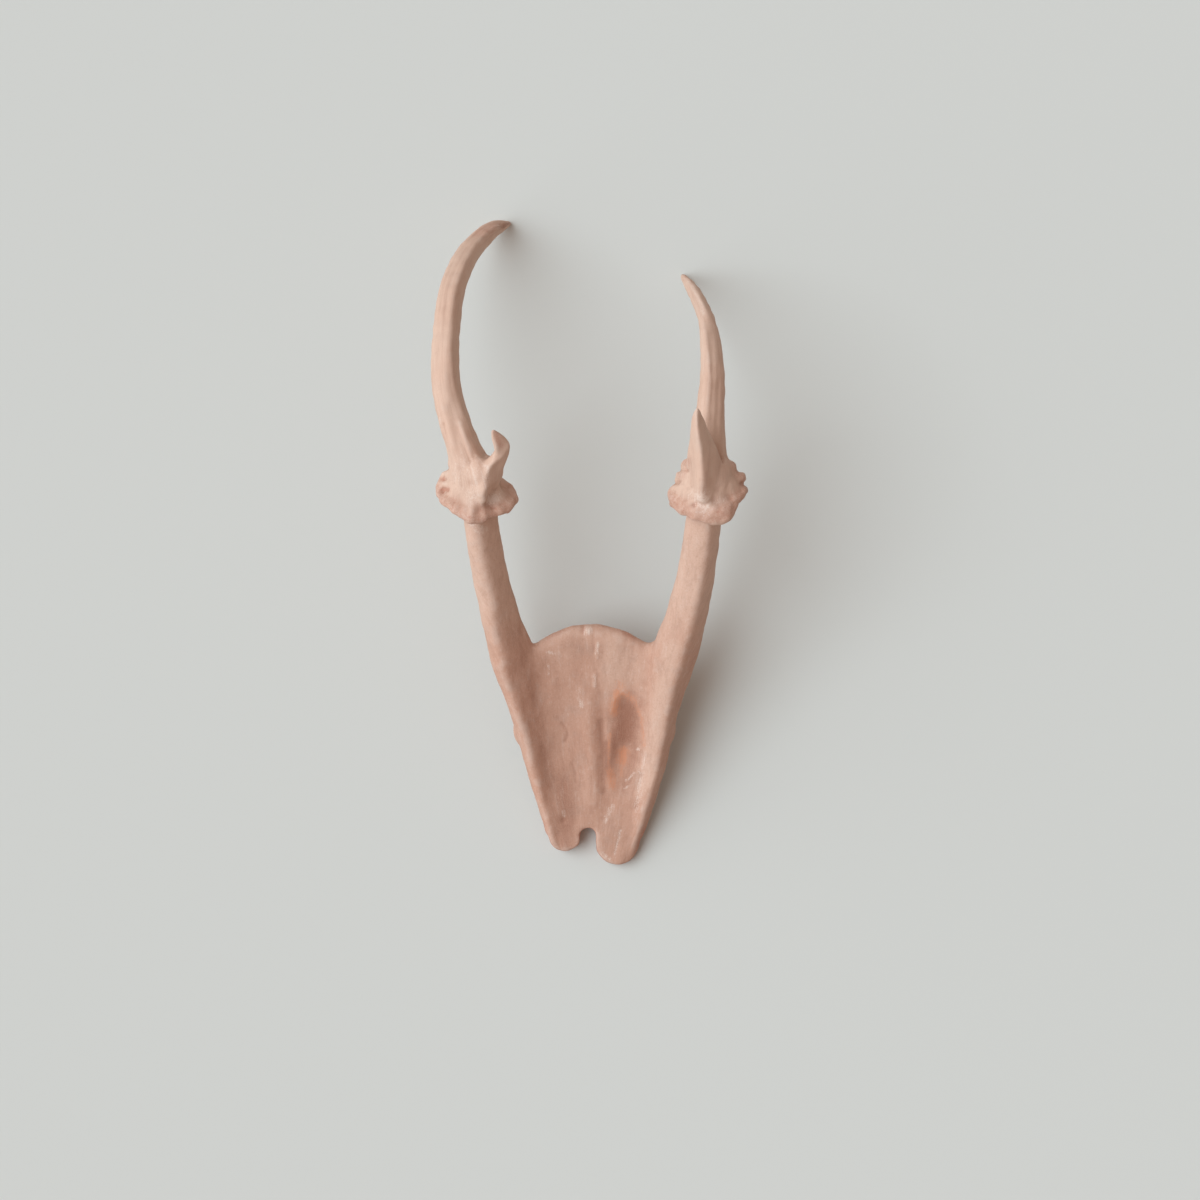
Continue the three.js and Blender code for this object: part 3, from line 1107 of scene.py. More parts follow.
    def relief(self) -> Sequence[Stroke]:
        """Grooves, pits and raised lines of the upper face."""
        return (
            Stroke(((-0.9, -62.0), (0.0, -76.0), (1.1, -99.0)), 3.6, 0.9),
            Stroke(((3.7, -58.0), (4.2, -72.0), (4.6, -82.0)), 2.0, -0.25, 2.2),
            Stroke(((4.2, -69.0), (4.6, -82.0), (4.9, -95.0)), 2.0, -0.45, 2.2),
            Stroke(((14.7, -62.5), (15.0, -80.0)), 5.4, -1.3, 3.2),
            Stroke(((14.4, -80.0), (13.4, -92.0)), 4.8, -0.9, 3.0),
            Stroke(((8.4, -64.0), (9.2, -60.0), (12.2, -56.8), (16.0, -59.0), (19.4, -65.0)), 1.4, 0.4),
            Stroke(((19.6, -66.0), (20.6, -73.0), (19.8, -86.0)), 1.3, 0.35),
            Stroke(((9.6, -37.0), (9.2, -50.0)), 5.0, 0.6),
            Stroke(((-0.9, -33.8),), 1.4, 0.6),
            Stroke(((-2.6, -31.0), (-2.7, -34.0)), 0.9, -0.35),
            Stroke(((2.9, -38.5), (2.5, -44.0)), 0.7, 0.3),
            Stroke(((1.8, -50.0), (1.8, -54.5)), 0.8, 0.35),
            Stroke(((0.8, -37.0), (1.9, -47.0), (3.4, -57.0)), 0.9, -0.1),
            Stroke(((-10.8, -68.8), (-9.0, -70.8), (-8.6, -73.4), (-9.6, -75.8)), 0.5, -0.22),
            Stroke(((-7.0, -84.0), (-5.9, -87.5), (-5.4, -91.5)), 0.5, -0.2),
            Stroke(((-10.5, -106.2),), 1.3, -0.35),
            Stroke(((18.9, -89.0), (18.4, -95.3), (17.6, -101.0)), 1.2, -0.3),
            Stroke(((11.5, -110.0), (10.6, -114.0), (9.3, -119.0)), 0.5, -0.2),
        )

    def marks(self) -> Sequence[Mark]:
        """Scrapes, smudges and chalky lines in the coat of the upper face; most smudges are painted shade.
        """
        smudge_and_shade, scrape, chalk_and_highlight, rust = Paint.SMUDGE_AND_SHADE, Paint.SCRAPE, Paint.CHALK_AND_HIGHLIGHT, Paint.RUST
        bleach = Paint.BLEACH
        return (
            Mark(bleach, ((9.6, -38.0), (10.4, -51.0)), 8.0, 0.7),
            Mark(bleach, ((31.0, -40.0), (26.6, -58.0), (24.0, -75.0), (20.6, -92.0)), 4.4, 0.75),
            # Painted shade, with some dirt: these smudges darken the trough's left wall, the right side of
            # the middle ridge, the pit and the left of the rear arch.
            Mark(smudge_and_shade, ((-27.5, -34.0), (-22.4, -56.0), (-18.4, -75.0), (-14.8, -92.0)), 3.8, 0.36),
            Mark(smudge_and_shade, ((-10.5, -92.0), (-9.0, -100.0), (-10.0, -114.0)), 5.4, 0.5),
            Mark(smudge_and_shade, ((13.8, -63.0), (13.4, -73.0)), 5.4, 0.85),
            Mark(smudge_and_shade, ((11.4, -70.0), (7.8, -79.0), (7.2, -88.0)), 3.2, 0.7),
            Mark(smudge_and_shade, ((16.4, -70.0), (16.2, -80.0), (14.6, -92.0)), 4.2, 0.42),
            Mark(smudge_and_shade, ((3.9, -57.0), (4.2, -68.0)), 1.8, 0.18),
            Mark(smudge_and_shade, ((4.0, -63.0), (4.2, -74.0)), 1.9, 0.26),
            Mark(smudge_and_shade, ((4.2, -69.0), (4.5, -78.0)), 2.0, 0.33),
            Mark(smudge_and_shade, ((4.4, -75.0), (4.9, -84.0), (4.9, -95.0)), 2.0, 0.4),
            Mark(smudge_and_shade, ((15.4, -58.2),), 2.9, 0.5),
            Mark(smudge_and_shade, ((7.0, -64.0), (7.2, -76.0)), 1.8, 0.34),
            Mark(smudge_and_shade, ((6.2, -76.5), (6.2, -86.0)), 2.0, 0.66),
            Mark(smudge_and_shade, ((-9.0, -37.5), (-3.0, -40.0)), 4.5, 0.3),
            Mark(scrape, ((9.0, -64.4), (9.3, -60.4), (10.2, -57.0)), 1.7, 0.8),
            Mark(scrape, ((10.2, -57.0), (13.0, -57.4), (16.0, -59.6)), 1.7, 0.55),
            Mark(scrape, ((11.2, -54.0), (11.4, -57.5)), 2.0, 0.45),
            Mark(scrape, ((7.3, -73.0), (7.0, -80.0), (7.1, -87.0)), 0.7, 0.5),
            Mark(scrape, ((12.7, -79.4), (12.2, -83.4)), 2.2, 0.75, 2.4),
            Mark(scrape, ((11.6, -86.0), (11.8, -89.0)), 0.9, 0.45),
            Mark(scrape, ((7.6, -87.5), (8.4, -93.0)), 2.0, 0.6),
            Mark(scrape, ((17.0, -61.0), (19.4, -67.0), (20.2, -77.0)), 0.9, 0.4),
            Mark(chalk_and_highlight, ((19.2, -87.5), (18.8, -92.0), (18.4, -98.0)), 1.6, 0.3),
            Mark(chalk_and_highlight, ((18.2, -97.0), (17.4, -102.5)), 0.9, 0.4),
            Mark(chalk_and_highlight, ((20.4, -80.0), (19.8, -88.0)), 1.0, 0.35),
            Mark(chalk_and_highlight, ((13.6, -91.0), (16.6, -88.0)), 0.45, 0.5),
            Mark(chalk_and_highlight, ((13.0, -94.0), (15.6, -92.6)), 0.45, 0.45),
            Mark(chalk_and_highlight, ((11.5, -110.0), (10.6, -114.0), (9.3, -119.5)), 0.5, 0.55),
            Mark(chalk_and_highlight, ((18.1, -78.9),), 0.6, 0.8, 3.0),
            Mark(chalk_and_highlight, ((2.9, -38.8), (2.4, -42.0)), 0.7, 0.46),
            Mark(chalk_and_highlight, ((1.7, -50.5), (1.8, -54.2)), 0.7, 0.46),
            Mark(chalk_and_highlight, ((-0.8, -33.6),), 1.6, 0.7),
            Mark(chalk_and_highlight, ((-0.2, -107.3),), 0.5, 0.6),
            Mark(chalk_and_highlight, ((-10.3, -103.0), (-10.0, -104.6)), 0.7, 0.5),
            Mark(chalk_and_highlight, ((-4.2, -56.0), (-3.6, -62.0)), 1.2, 0.26),
            Mark(chalk_and_highlight, ((5.4, -106.5), (8.4, -101.0)), 1.0, 0.42),
            Mark(chalk_and_highlight, ((4.6, -119.0), (7.4, -121.6)), 0.7, 0.5),
            Mark(chalk_and_highlight, ((-16.4, -41.5), (-13.0, -42.5)), 0.6, 0.4),
            Mark(chalk_and_highlight, ((-16.0, -46.0), (-15.6, -50.0)), 0.5, 0.3),
            Mark(rust, ((-16.0, -36.0), (-8.0, -31.4), (0.0, -30.4), (9.0, -31.6), (17.0, -36.0)), 1.6, 0.5),
            Mark(rust, ((-2.4, -31.6), (-2.6, -34.6)), 0.6, 0.5),
            Mark(chalk_and_highlight, ((-43.8, 5.8), (-41.0, 5.0), (-38.0, 3.8)), 0.8, 0.55),
            Mark(chalk_and_highlight, ((-42.5, 3.4), (-39.6, 2.4)), 0.6, 0.4),
        )

    def dress(self, bone: Piece, finish: bpy.types.Material) -> None:
        """Works the surface over, paints it and sets it in the frame.

        Args:
            bone: The skin made by build.
            finish: Its material.
        """
        chisel = Chisel(bone)
        left_x, _, _, right_x, _, _ = self.between(chisel.places[:, 1])
        u = (2.0 * chisel.places[:, 0] - left_x - right_x) / (right_x - left_x)
        at, half = self.foot
        foot = bell(np.abs(u) - at, half, FLAT_TOP) * ramp(chisel.places[:, 1], *self.melt_from)
        soften(bone, np.clip(self.melt + foot, 0.0, 1.0), self.melt_rounds)
        chisel = Chisel(bone)
        chisel.press(self.relief())
        chisel.lift(sum(wave.over(chisel.places) for wave in self.ripples))
        chisel.smooth(self.even)
        # Painted shade in the hollows, and paled crests that are partly painted highlight.
        chisel.read_relief()
        chisel.paint[Paint.BLEACH] = self.bleach * ramp(chisel.places[:, 1], *self.bleach_from)
        chisel.touch(self.marks())
        nose_rim = ramp(chisel.places[:, 1], *self.rim_from) * ramp(chisel.normals[:, 2], *self.rim_lean)
        chisel.paint[Paint.RUST] = np.maximum(chisel.paint[Paint.RUST], self.rim_rust * nose_rim)
        chisel.rest_on_floor()
        chisel.store(np.stack([u, chisel.places[:, 2], chisel.places[:, 1]], 1) * np.array(self.brush))
        coat(bone, finish)
        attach(bone, "root")
        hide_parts("skull_plate", "left_pedicle", "right_pedicle")


# The antlers


class Lump(NamedTuple):
    """A lump of a burr, or a pit where its rise is below zero.

    Attributes are the angle from the front in degrees, the height along the burr's axis,
    the half width and the rise.
    """

    angle: float
    height: float
    half: float
    rise: float


@dataclass
class Burr:
    """The collar of lumps round the foot of an antler.

    Attributes:
        centre: Its middle.
        axis: The antler's direction there.
        radius: Radius of its rim.
        lumps: Its lumps and pits.
        seed: Where the noise of its small lumps starts.
        rim: Round the rim, an angle, the height of the lower edge and a share of the radius.
        profile: Rings as height along the axis and shares of the radius to the sides and to the front.
        waist: Height up to which the rim's lower edge moves the rings.
        flare: Heights where the rim's shares end and where they are full.
        rim_at: Height of the rim's middle.
        rim_half: Half height of the rim.
        neck: Shares of the radius where the groove starts and where the small lumps start.
        knurls: Height and wave of its small lumps; the seed counts on from one to the next.
        groove: Depth, height and half width of the groove above the rim.
        groove_from: How far to the front it sets in and where it is full.
    """

    centre: Triple
    axis: Triple
    radius: float
    lumps: Sequence[Lump]
    seed: int
    rim: Sequence[Triple]
    profile: Sequence[Triple] = (
        (-4.6, 0.42, 0.42),
        (-4.5, 0.78, 0.78),
        (-4.1, 0.93, 0.93),
        (-3.2, 0.985, 0.985),
        (-1.5, 1.0, 1.0),
        (0.8, 1.0, 0.985),
        (2.6, 0.985, 0.93),
        (4.0, 0.93, 0.84),
        (5.4, 0.83, 0.74),
        (7.0, 0.74, 0.66),
        (9.0, 0.68, 0.6),
        (11.5, 0.62, 0.53),
        (14.0, 0.54, 0.44),
    )
    waist: float = 2.0
    flare: Pair = (9.0, 4.0)
    rim_at: float = 0.5
    rim_half: float = 6.5
    neck: Pair = (0.5, 0.7)
    knurls: Plan = ((0.2, 6.5), (0.1, 3.2))
    groove: Triple = (0.8, 4.2, 1.4)
    groove_from: Pair = (-2.0, 6.0)

    def __post_init__(self) -> None:
        """Sets up the burr's own three directions."""
        self.up = unit(np.array(self.axis))
        self.right = unit(np.cross(self.up, UP))
        self.front = np.cross(self.right, self.up)

    def away(self, places: Array) -> Array:
        """The way from the burr's middle to each place."""
        return places - np.array(self.centre)

    def build(self, name: str) -> Piece:
        """Draws the collar ring by ring along its axis.

        Args:
            name: Name of the piece.

        Returns:
            The closed collar.
        """
        stations = [
            Station(*(np.array(self.centre) + self.up * rise), self.radius * wide, self.radius * deep)
            for rise, wide, deep in self.profile
        ]
        collar = Limb(name, stations, rings=40, sides=120).build()
        chisel = Chisel(collar)
        away = self.away(chisel.places)
        height = away @ self.up
        flat = away - height[:, None] * self.up
        angle = np.degrees(np.arctan2(flat @ self.right, flat @ self.front))
        turns, low, share = np.array(self.rim).T
        low = np.interp(angle, turns, low, period=360.0)
        share = np.interp(angle, turns, share, period=360.0)
        foot, waist = self.profile[0][0], self.waist
        fresh = np.where(height < waist, waist - (waist - height) * (waist - low) / (waist - foot), height)
        share = 1.0 + (share - 1.0) * ramp(height, *self.flare)
        chisel.places = np.array(self.centre) + fresh[:, None] * self.up + flat * share[:, None]
        chisel.refresh()
        return collar

    def knurl(self, chisel: Chisel) -> None:
        """Works lumps and pits into the rim.

        Args:
            chisel: The antler's surface.
        """
        away = self.away(chisel.places)
        height = away @ self.up
        radial = np.linalg.norm(away - height[:, None] * self.up, axis=1)
        inner, outer = (share * self.radius for share in self.neck)
        rim = bell(height - self.rim_at, self.rim_half, FLAT_TOP) * ramp(radial, outer, self.radius)
        knurls = [Ripple(*knurl, self.seed + count) for count, knurl in enumerate(self.knurls)]
        rise = rim * sum(knurl.over(chisel.places) for knurl in knurls)
        facing = ramp(away @ self.front, *self.groove_from) * ramp(radial, inner, outer)
        depth, at, half = self.groove
        rise -= depth * facing * bell(height - at, half)
        heights, wide, deep = np.array(self.profile).T
        for lump in self.lumps:
            angle = math.radians(lump.angle)
            out = self.front * math.cos(angle) + self.right * math.sin(angle)
            share = np.interp(lump.height, heights, deep)
            if abs(math.sin(angle)) > 0.7:
                share = max(share, np.interp(lump.height, heights, wide))
            reach = self.radius * share
            middle = np.array(self.centre) + self.up * lump.height + out * reach
            rise += lump.rise * bell(np.linalg.norm(chisel.places - middle, axis=1), lump.half)
        chisel.lift(rise)


@dataclass
class Antler:
    """One antler: burr, curved beam and brow tine, one grown piece.

    Attributes:
        side: Which side it is on.
        burr: The collar at its foot.
        beam: The main beam.
        tine: The brow tine.
        heels: Middle and half sizes of the swellings between beam and tine.
        grooves: Grooves and raised lines on its upper face.
        marks: Marks in its coat.
        grain: Edge length of the skin.
        melt: Least melt, melt of the plain skin and how much less the burr's rim melts.
        melt_rounds: How often the melt is repeated.
        fork: Height above the burr's middle where beam and tine part, and the melt's reach there.
        rim_at: Height of the rim's middle along the burr's axis.
        rim_half: Half height of the rim, for its melt, lines and rust.
        rim_ring: Distances from the burr's middle where the rim starts and where it is full.
        ripple: Waviness of the skin.
        flutes: Waviness along the brush lines.
        even: Strength of the last smoothing.
        brush_reach: Distance from the beam's line beyond which the brush lines stay as they are.
        brush_along: Pitch of the brush lines along the beam and up the rim.
        rust: Strength, height, half height and hardness of the rust round the rim.
    """

    side: Side
    burr: Burr
    beam: Limb
    tine: Limb
    heels: Sequence[tuple[Triple, Triple]]
    grooves: Sequence[Stroke]
    marks: Sequence[Mark]
    grain: float = 0.45
    melt: Triple = (0.1, 0.25, 0.5)
    melt_rounds: int = 26
    fork: Pair = (6.0, 15.0)
    rim_at: float = 1.0
    rim_half: float = 6.0
    rim_ring: Pair = (9.0, 13.0)
    ripple: Ripple = Ripple(0.07, 7.0, 7)
    flutes: Ripple = Ripple(0.05, 2.4, 9)
    even: float = 0.4
    brush_reach: float = 9.0
    brush_along: Pair = (0.06, 0.7)
    rust: tuple[float, float, float, float] = (0.5, 0.3, 4.8, 3.0)

    def build(self) -> Piece:
        """Makes the antler's skin.

        Returns:
            The antler in millimetres, still without its finish.
        """
        name = f"{self.side.value}_antler"
        heels = [ball(f"{name}_heel", *heel) for heel in self.heels]
        forms = [self.burr.build(f"{name}_burr"), self.beam.build(), self.tine.build(), *heels]
        antler = fuse(forms, name, self.grain)
        LOG.info("%s: %d vertices", name, len(antler.data.vertices))
        return antler

    def dress(self, antler: Piece, finish: bpy.types.Material) -> None:
        """Works the surface over, paints it and sets it in the frame.

        Args:
            antler: The skin made by build.
            finish: Its material.
        """
        burr = self.burr
        chisel = Chisel(antler)
        away = burr.away(chisel.places)
        fork_rise, fork_reach = self.fork
        fork = bell(np.linalg.norm(away - fork_rise * burr.up, axis=1), fork_reach, FLAT_TOP)
        rim = ramp(np.abs(away @ burr.up - self.rim_at), self.rim_half, 0.5 * self.rim_half)
        least, plain, kept = self.melt
        soften(antler, np.clip(plain + fork - kept * rim, least, 1.0), self.melt_rounds)
        chisel = Chisel(antler)
        root = np.linalg.norm(burr.away(chisel.places), axis=1)
        burr.knurl(chisel)
        chisel.press(self.grooves)
        index, angle, reach = self.beam.locate(chisel.places)
        reach = np.minimum(reach, self.brush_reach)
        collar = burr.away(chisel.places) @ burr.up
        rim = bell(collar - self.rim_at, self.rim_half, FLAT_TOP) * ramp(root, *self.rim_ring)
        beam_pitch, rim_pitch = self.brush_along
        along = beam_pitch * self.beam.run[index] + rim_pitch * rim * collar
        lines = np.stack([reach * np.cos(angle), reach * np.sin(angle), along], 1)
        chisel.lift(self.ripple.over(chisel.places) + self.flutes.over(lines))
        chisel.smooth(self.even)
        # Painted shade in the hollows, and paled crests that are partly painted highlight.
        chisel.read_relief()
        strength, at, half, hard = self.rust
        chisel.paint[Paint.RUST] = strength * bell(collar - at, half, hard) * rim
        chisel.touch(self.marks)
        chisel.rest_on_floor()
        chisel.store(lines)
        coat(antler, finish)
        side = self.side.value
        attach(antler, "root")
        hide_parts(f"{side}_burr", f"{side}_beam", f"{side}_brow_tine")


def left_antler() -> Antler:
    """The longer antler, with a hooked brow tine."""
    beam = Limb(
        "left_beam_form",
        (
            Station(-41.4, 17.0, 59.5, 9.4, 10.4),
            Station(-43.6, 26.6, 65.8, 8.1, 9.6),
            Station(-45.2, 32.0, 67.4, 6.8, 8.0),
            Station(-49.1, 43.5, 67.8, 5.9, 6.7),
            Station(-52.1, 55.5, 66.3, 5.55, 6.3),
            Station(-52.9, 68.0, 62.6, 5.3, 6.0),
            Station(-52.4, 80.0, 56.5, 5.1, 5.8),
            Station(-51.2, 92.5, 47.4, 5.0, 5.7),
            Station(-48.2, 103.0, 36.6, 4.7, 5.4),
            Station(-42.3, 113.9, 20.6, 3.9, 4.8),
            Station(-36.7, 120.0, 8.0, 3.1, 3.9),
            Station(-33.2, 121.9, 3.2, 1.8, 2.2),
            Station(-31.2, 123.0, 0.5, 0.9, 0.9),
        ),
        (
            Keel(30.0, 0.10, 30.0, (0.05, 0.2)),
            Keel(-70.0, 0.05, 18.0, (0.05, 0.3)),
            Keel(20.0, 0.07, 26.0, (0.4, 0.9)),
        ),
        (
            Facet(20.0, 0.88, (0.05, 0.2), 8.0),
            Facet(74.0, 0.80, (0.0, 0.25)),
            Facet(-24.0, 0.93, (0.4, 0.9), 9.0),
            Facet(66.0, 0.86, (0.4, 0.9), 9.0),
        ),
    )
    tine = Limb(
        "left_tine_form",
        (
            Station(-40.6, 11.8, 66.5, 3.6, 3.4),
            Station(-39.8, 14.5, 67.8, 5.0, 5.4),
            Station(-39.3, 18.0, 69.5, 5.6, 6.6),
            Station(-36.6, 23.3, 73.5, 4.6, 6.4),
            Station(-34.6, 26.8, 77.0, 3.5, 5.0),
            Station(-32.6, 29.6, 80.4, 2.9, 3.8),
            Station(-31.6, 31.4, 82.6, 2.7, 3.2),
            Station(-31.7, 33.4, 85.0, 2.95, 2.8),
            Station(-33.2, 36.0, 88.3, 2.15, 2.0),
            Station(-34.9, 38.7, 91.4, 0.6, 0.6),
        ),
        (Keel(20.0, 0.10, 30.0, (0.2, 0.4)),),
        (
            Facet(-30.0, 0.86, (0.15, 0.4)),
            Facet(70.0, 0.76, (0.15, 0.35)),
            Facet(46.0, 0.54, (0.5, 0.6), 10.0),
            Facet(8.0, 0.5, (0.78, 1.0), 10.0),
        ),
        rings=36,
    )
    lumps = (
        Lump(-102.0, 6.6, 4.0, 2.2),
        Lump(-84.0, -2.0, 3.4, 0.6),
        Lump(-50.0, -2.0, 4.0, 0.5),
        Lump(-72.0, 3.6, 1.4, -1.2),
        Lump(-92.0, 6.0, 1.2, -1.0),
        Lump(-118.0, 8.5, 1.3, -0.9),
        Lump(4.0, 0.0, 5.0, 1.2),
        Lump(42.0, 4.5, 4.4, -1.6),
        Lump(30.0, -1.0, 2.0, -0.5),
        Lump(94.0, 6.6, 4.2, -2.7),
        Lump(92.0, 0.8, 4.2, 0.9),
        Lump(108.0, 4.0, 1.5, -0.6),
        Lump(60.0, -2.0, 3.0, 0.4),
    )
    grooves = (
        Stroke(((-54.5, 44.0), (-53.4, 35.0), (-51.2, 26.0)), 0.7, 0.4),
        Stroke(((-53.2, 42.0), (-52.0, 34.0), (-50.0, 25.0)), 0.7, -0.35),
        Stroke(((-50.9, 48.8), (-49.0, 41.5), (-48.0, 32.4), (-46.9, 25.2)), 1.8, -0.6),
        Stroke(((-46.8, 42.0), (-45.0, 36.0), (-43.4, 32.2), (-40.8, 29.2)), 1.6, 0.7),
        Stroke(((-55.2, 22.4), (-53.6, 22.1)), 1.0, -0.6),
        Stroke(((-54.0, 18.4), (-52.2, 18.2)), 1.2, -0.7),
        Stroke(((-55.0, 26.8), (-52.4, 26.2)), 1.1, -1.0, through=True),
    )
    rim = (
        (-150.0, -1.0, 1.0),
        (-110.0, 0.0, 1.0),
        (-88.0, 0.0, 0.985),
        (-60.0, 0.4, 0.975),
        (-42.0, 0.2, 0.965),
        (-20.0, -0.4, 1.0),
        (4.0, -1.4, 1.03),
        (30.0, -0.6, 1.03),
        (52.0, -0.4, 1.06),
        (75.0, 0.2, 1.06),
        (92.0, -0.4, 1.05),
        (112.0, 0.0, 1.0),
        (135.0, -0.5, 0.92),
    )
    marks = (
        Mark(Paint.RUST, ((-55.2, 22.4), (-53.4, 22.0)), 1.2, 0.6),
        Mark(Paint.RUST, ((-54.0, 18.4), (-52.0, 18.2)), 1.4, 0.6),
        Mark(Paint.RUST, ((-34.6, 38.2), (-33.4, 36.2), (-31.8, 33.6)), 1.8, 0.45),
        Mark(Paint.RUST, ((-42.0, 117.0), (-38.0, 120.0)), 3.6, 0.4),
        Mark(Paint.SMUDGE_AND_SHADE, ((-30.8, 122.8), (-33.6, 121.0)), 2.4, 0.6),
        # Painted highlight: broad pale patches on the heel face and on the shelf beside the tine's foot.
        Mark(Paint.CHALK_AND_HIGHLIGHT, ((-43.5, 24.5), (-40.5, 21.5)), 8.0, 0.24),
        Mark(Paint.CHALK_AND_HIGHLIGHT, ((-36.6, 14.6), (-34.4, 15.2)), 2.2, 0.9),
        Mark(Paint.CHALK_AND_HIGHLIGHT, ((-42.0, 16.0), (-43.5, 12.5)), 3.0, 0.35),
    )
    burr = Burr((-42.2, 16.2, 60.5), (0.1, 0.78, 0.61), 14.4, lumps, 2, rim)
    heels = (((-38.8, 24.0, 66.6), (7.8, 7.0, 9.0)), ((-39.6, 24.0, 73.4), (4.6, 5.6, 5.0)))
    return Antler(Side.LEFT, burr, beam, tine, heels, grooves, marks)


def right_antler() -> Antler:
    """The shorter antler, with a straight brow tine."""
    beam = Limb(
        "right_beam_form",
        (
            Station(42.9, 17.0, 59.5, 8.8, 9.6),
            Station(43.6, 27.0, 62.8, 7.2, 8.2),
            Station(43.8, 33.0, 64.0, 6.2, 7.0),
            Station(44.2, 48.0, 64.5, 5.2, 6.2),
            Station(44.9, 60.0, 61.6, 4.5, 5.4),
            Station(44.6, 71.0, 56.0, 4.0, 4.8),
            Station(43.6, 81.0, 46.8, 3.25, 4.0),
            Station(41.7, 88.0, 36.6, 3.0, 3.6),
            Station(38.7, 96.1, 19.8, 2.5, 2.8),
            Station(36.3, 101.0, 6.0, 1.5, 1.9),
            Station(35.3, 103.0, 0.5, 0.8, 0.8),
        ),
        (Keel(-30.0, 0.05, 30.0, (0.1, 0.6)),),
        (
            Facet(28.0, 0.82, (0.05, 0.46), 6.0),
            Facet(-25.0, 0.93, (0.66, 1.0), 9.0),
            Facet(58.0, 0.82, (0.66, 1.0), 9.0),
        ),
    )
    tine = Limb(
        "right_tine_form",
        (
            Station(42.4, 12.0, 67.0, 4.6, 3.6),
            Station(42.2, 15.6, 68.6, 6.6, 6.0),
            Station(41.9, 21.6, 70.5, 7.2, 7.6),
            Station(41.5, 27.0, 73.8, 6.6, 7.4),
            Station(40.8, 32.2, 78.0, 5.4, 6.0),
            Station(39.7, 37.4, 83.0, 3.7, 4.4),
            Station(38.8, 42.6, 88.0, 2.3, 2.8),
            Station(38.5, 46.4, 91.9, 0.5, 0.5),
        ),
        (Keel(-13.0, 0.1, 40.0),),
        (Facet(-62.0, 0.79, crisp=9.0), Facet(46.0, 0.64, crisp=8.0)),
        rings=36,
    )
    lumps = (
        Lump(96.0, 5.0, 2.6, 1.7),
        Lump(102.0, 9.4, 2.6, 1.9),
        Lump(88.0, -1.8, 2.8, 0.1),
        Lump(16.0, -2.5, 6.0, 1.6),
        Lump(56.0, -2.0, 4.0, -0.8),
        Lump(-115.0, 7.0, 2.3, 1.4),
        Lump(-125.0, 11.0, 2.4, 1.4),
        Lump(-84.0, -0.5, 3.6, 0.6),
        Lump(-92.0, 8.0, 3.0, 0.5),
        Lump(-62.0, 2.0, 2.4, -0.8),
        Lump(-30.0, 3.4, 0.9, -1.3),
        Lump(-6.0, 4.2, 1.8, 0.9),
        Lump(40.0, 5.0, 3.2, -0.6),
    )
    grooves = (
        Stroke(((42.6, 46.0), (43.4, 62.0), (43.0, 76.0)), 0.7, 0.14),
        Stroke(((44.2, 44.0), (45.0, 60.0), (44.6, 76.0)), 0.9, -0.15),
        Stroke(((46.4, 40.0), (46.9, 58.0)), 0.7, -0.08),
        Stroke(((35.6, 27.0), (36.4, 19.0)), 2.0, -0.7),
        Stroke(((58.6, 20.5), (56.0, 20.8)), 1.1, -1.15, through=True),
        Stroke(((55.8, 25.8), (54.6, 25.4)), 0.9, -0.7, through=True),
        Stroke(((29.0, 21.4), (31.8, 21.2)), 1.1, -1.15, through=True),
        Stroke(((32.6, 25.6), (34.6, 25.0)), 0.9, -0.7, through=True),
    )
    rim = (
        (-150.0, -2.0, 1.0),
        (-92.0, -2.8, 1.0),
        (-60.0, -2.0, 1.02),
        (-40.0, -2.2, 1.02),
        (-15.0, -3.2, 1.02),
        (14.0, -4.2, 1.02),
        (30.0, -3.2, 1.0),
        (45.0, -1.2, 1.0),
        (60.0, -0.8, 1.0),
        (75.0, -1.5, 1.01),
        (92.0, -2.2, 1.03),
        (112.0, -1.6, 0.98),
        (140.0, -1.5, 0.98),
    )
    marks = (
        Mark(Paint.RUST, ((34.8, 28.4), (32.8, 23.6)), 2.4, 0.45),
        Mark(Paint.RUST, ((53.4, 27.0), (56.0, 22.6)), 2.6, 0.45),
        Mark(Paint.RUST, ((35.4, 103.4), (37.6, 102.0), (41.4, 97.0)), 1.5, 0.85),
        Mark(Paint.CHALK_AND_HIGHLIGHT, ((37.2, 98.6), (40.0, 92.0), (42.0, 84.0)), 0.6, 0.4),
        Mark(Paint.CHALK_AND_HIGHLIGHT, ((39.5, 15.0), (41.5, 12.0)), 3.6, 0.55),
        # Painted highlight on the rim's knob.
        Mark(Paint.CHALK_AND_HIGHLIGHT, ((42.8, 11.9),), 0.9, 0.95),
        Mark(Paint.CHALK_AND_HIGHLIGHT, ((44.5, 12.5), (49.0, 14.5)), 1.6, 0.4),
    )
    burr = Burr((43.5, 17.2, 60.5), (-0.1, 0.78, 0.61), 14.2, lumps, 6, rim)
    heels = (((44.4, 21.5, 66.0), (8.0, 8.0, 7.0)),)
    return Antler(Side.RIGHT, burr, beam, tine, heels, grooves, marks)


# The studio


@dataclass(frozen=True)
class Lamp:
    """A broad soft lamp far off.

    Attributes:
        name: Its name.
        towards: Direction from the part to the lamp.
        angle: How wide it looks, in degrees.
        strength: Its strength.
        tone: Its colour.
    """

    name: str
    towards: Triple
    angle: float
    strength: float
    tone: Triple = (0.89, 1.0, 1.075)

    def light(self) -> None:
        """Hangs the lamp."""
        bpy.ops.object.light_add(type="SUN", location=self.towards)
        lamp = bpy.context.object
        lamp.name = self.name
        lamp.data.energy = self.strength
        lamp.data.color = self.tone
        lamp.data.angle = math.radians(self.angle)
        lamp.rotation_euler = Vector(self.towards).to_track_quat("Z", "Y").to_euler()


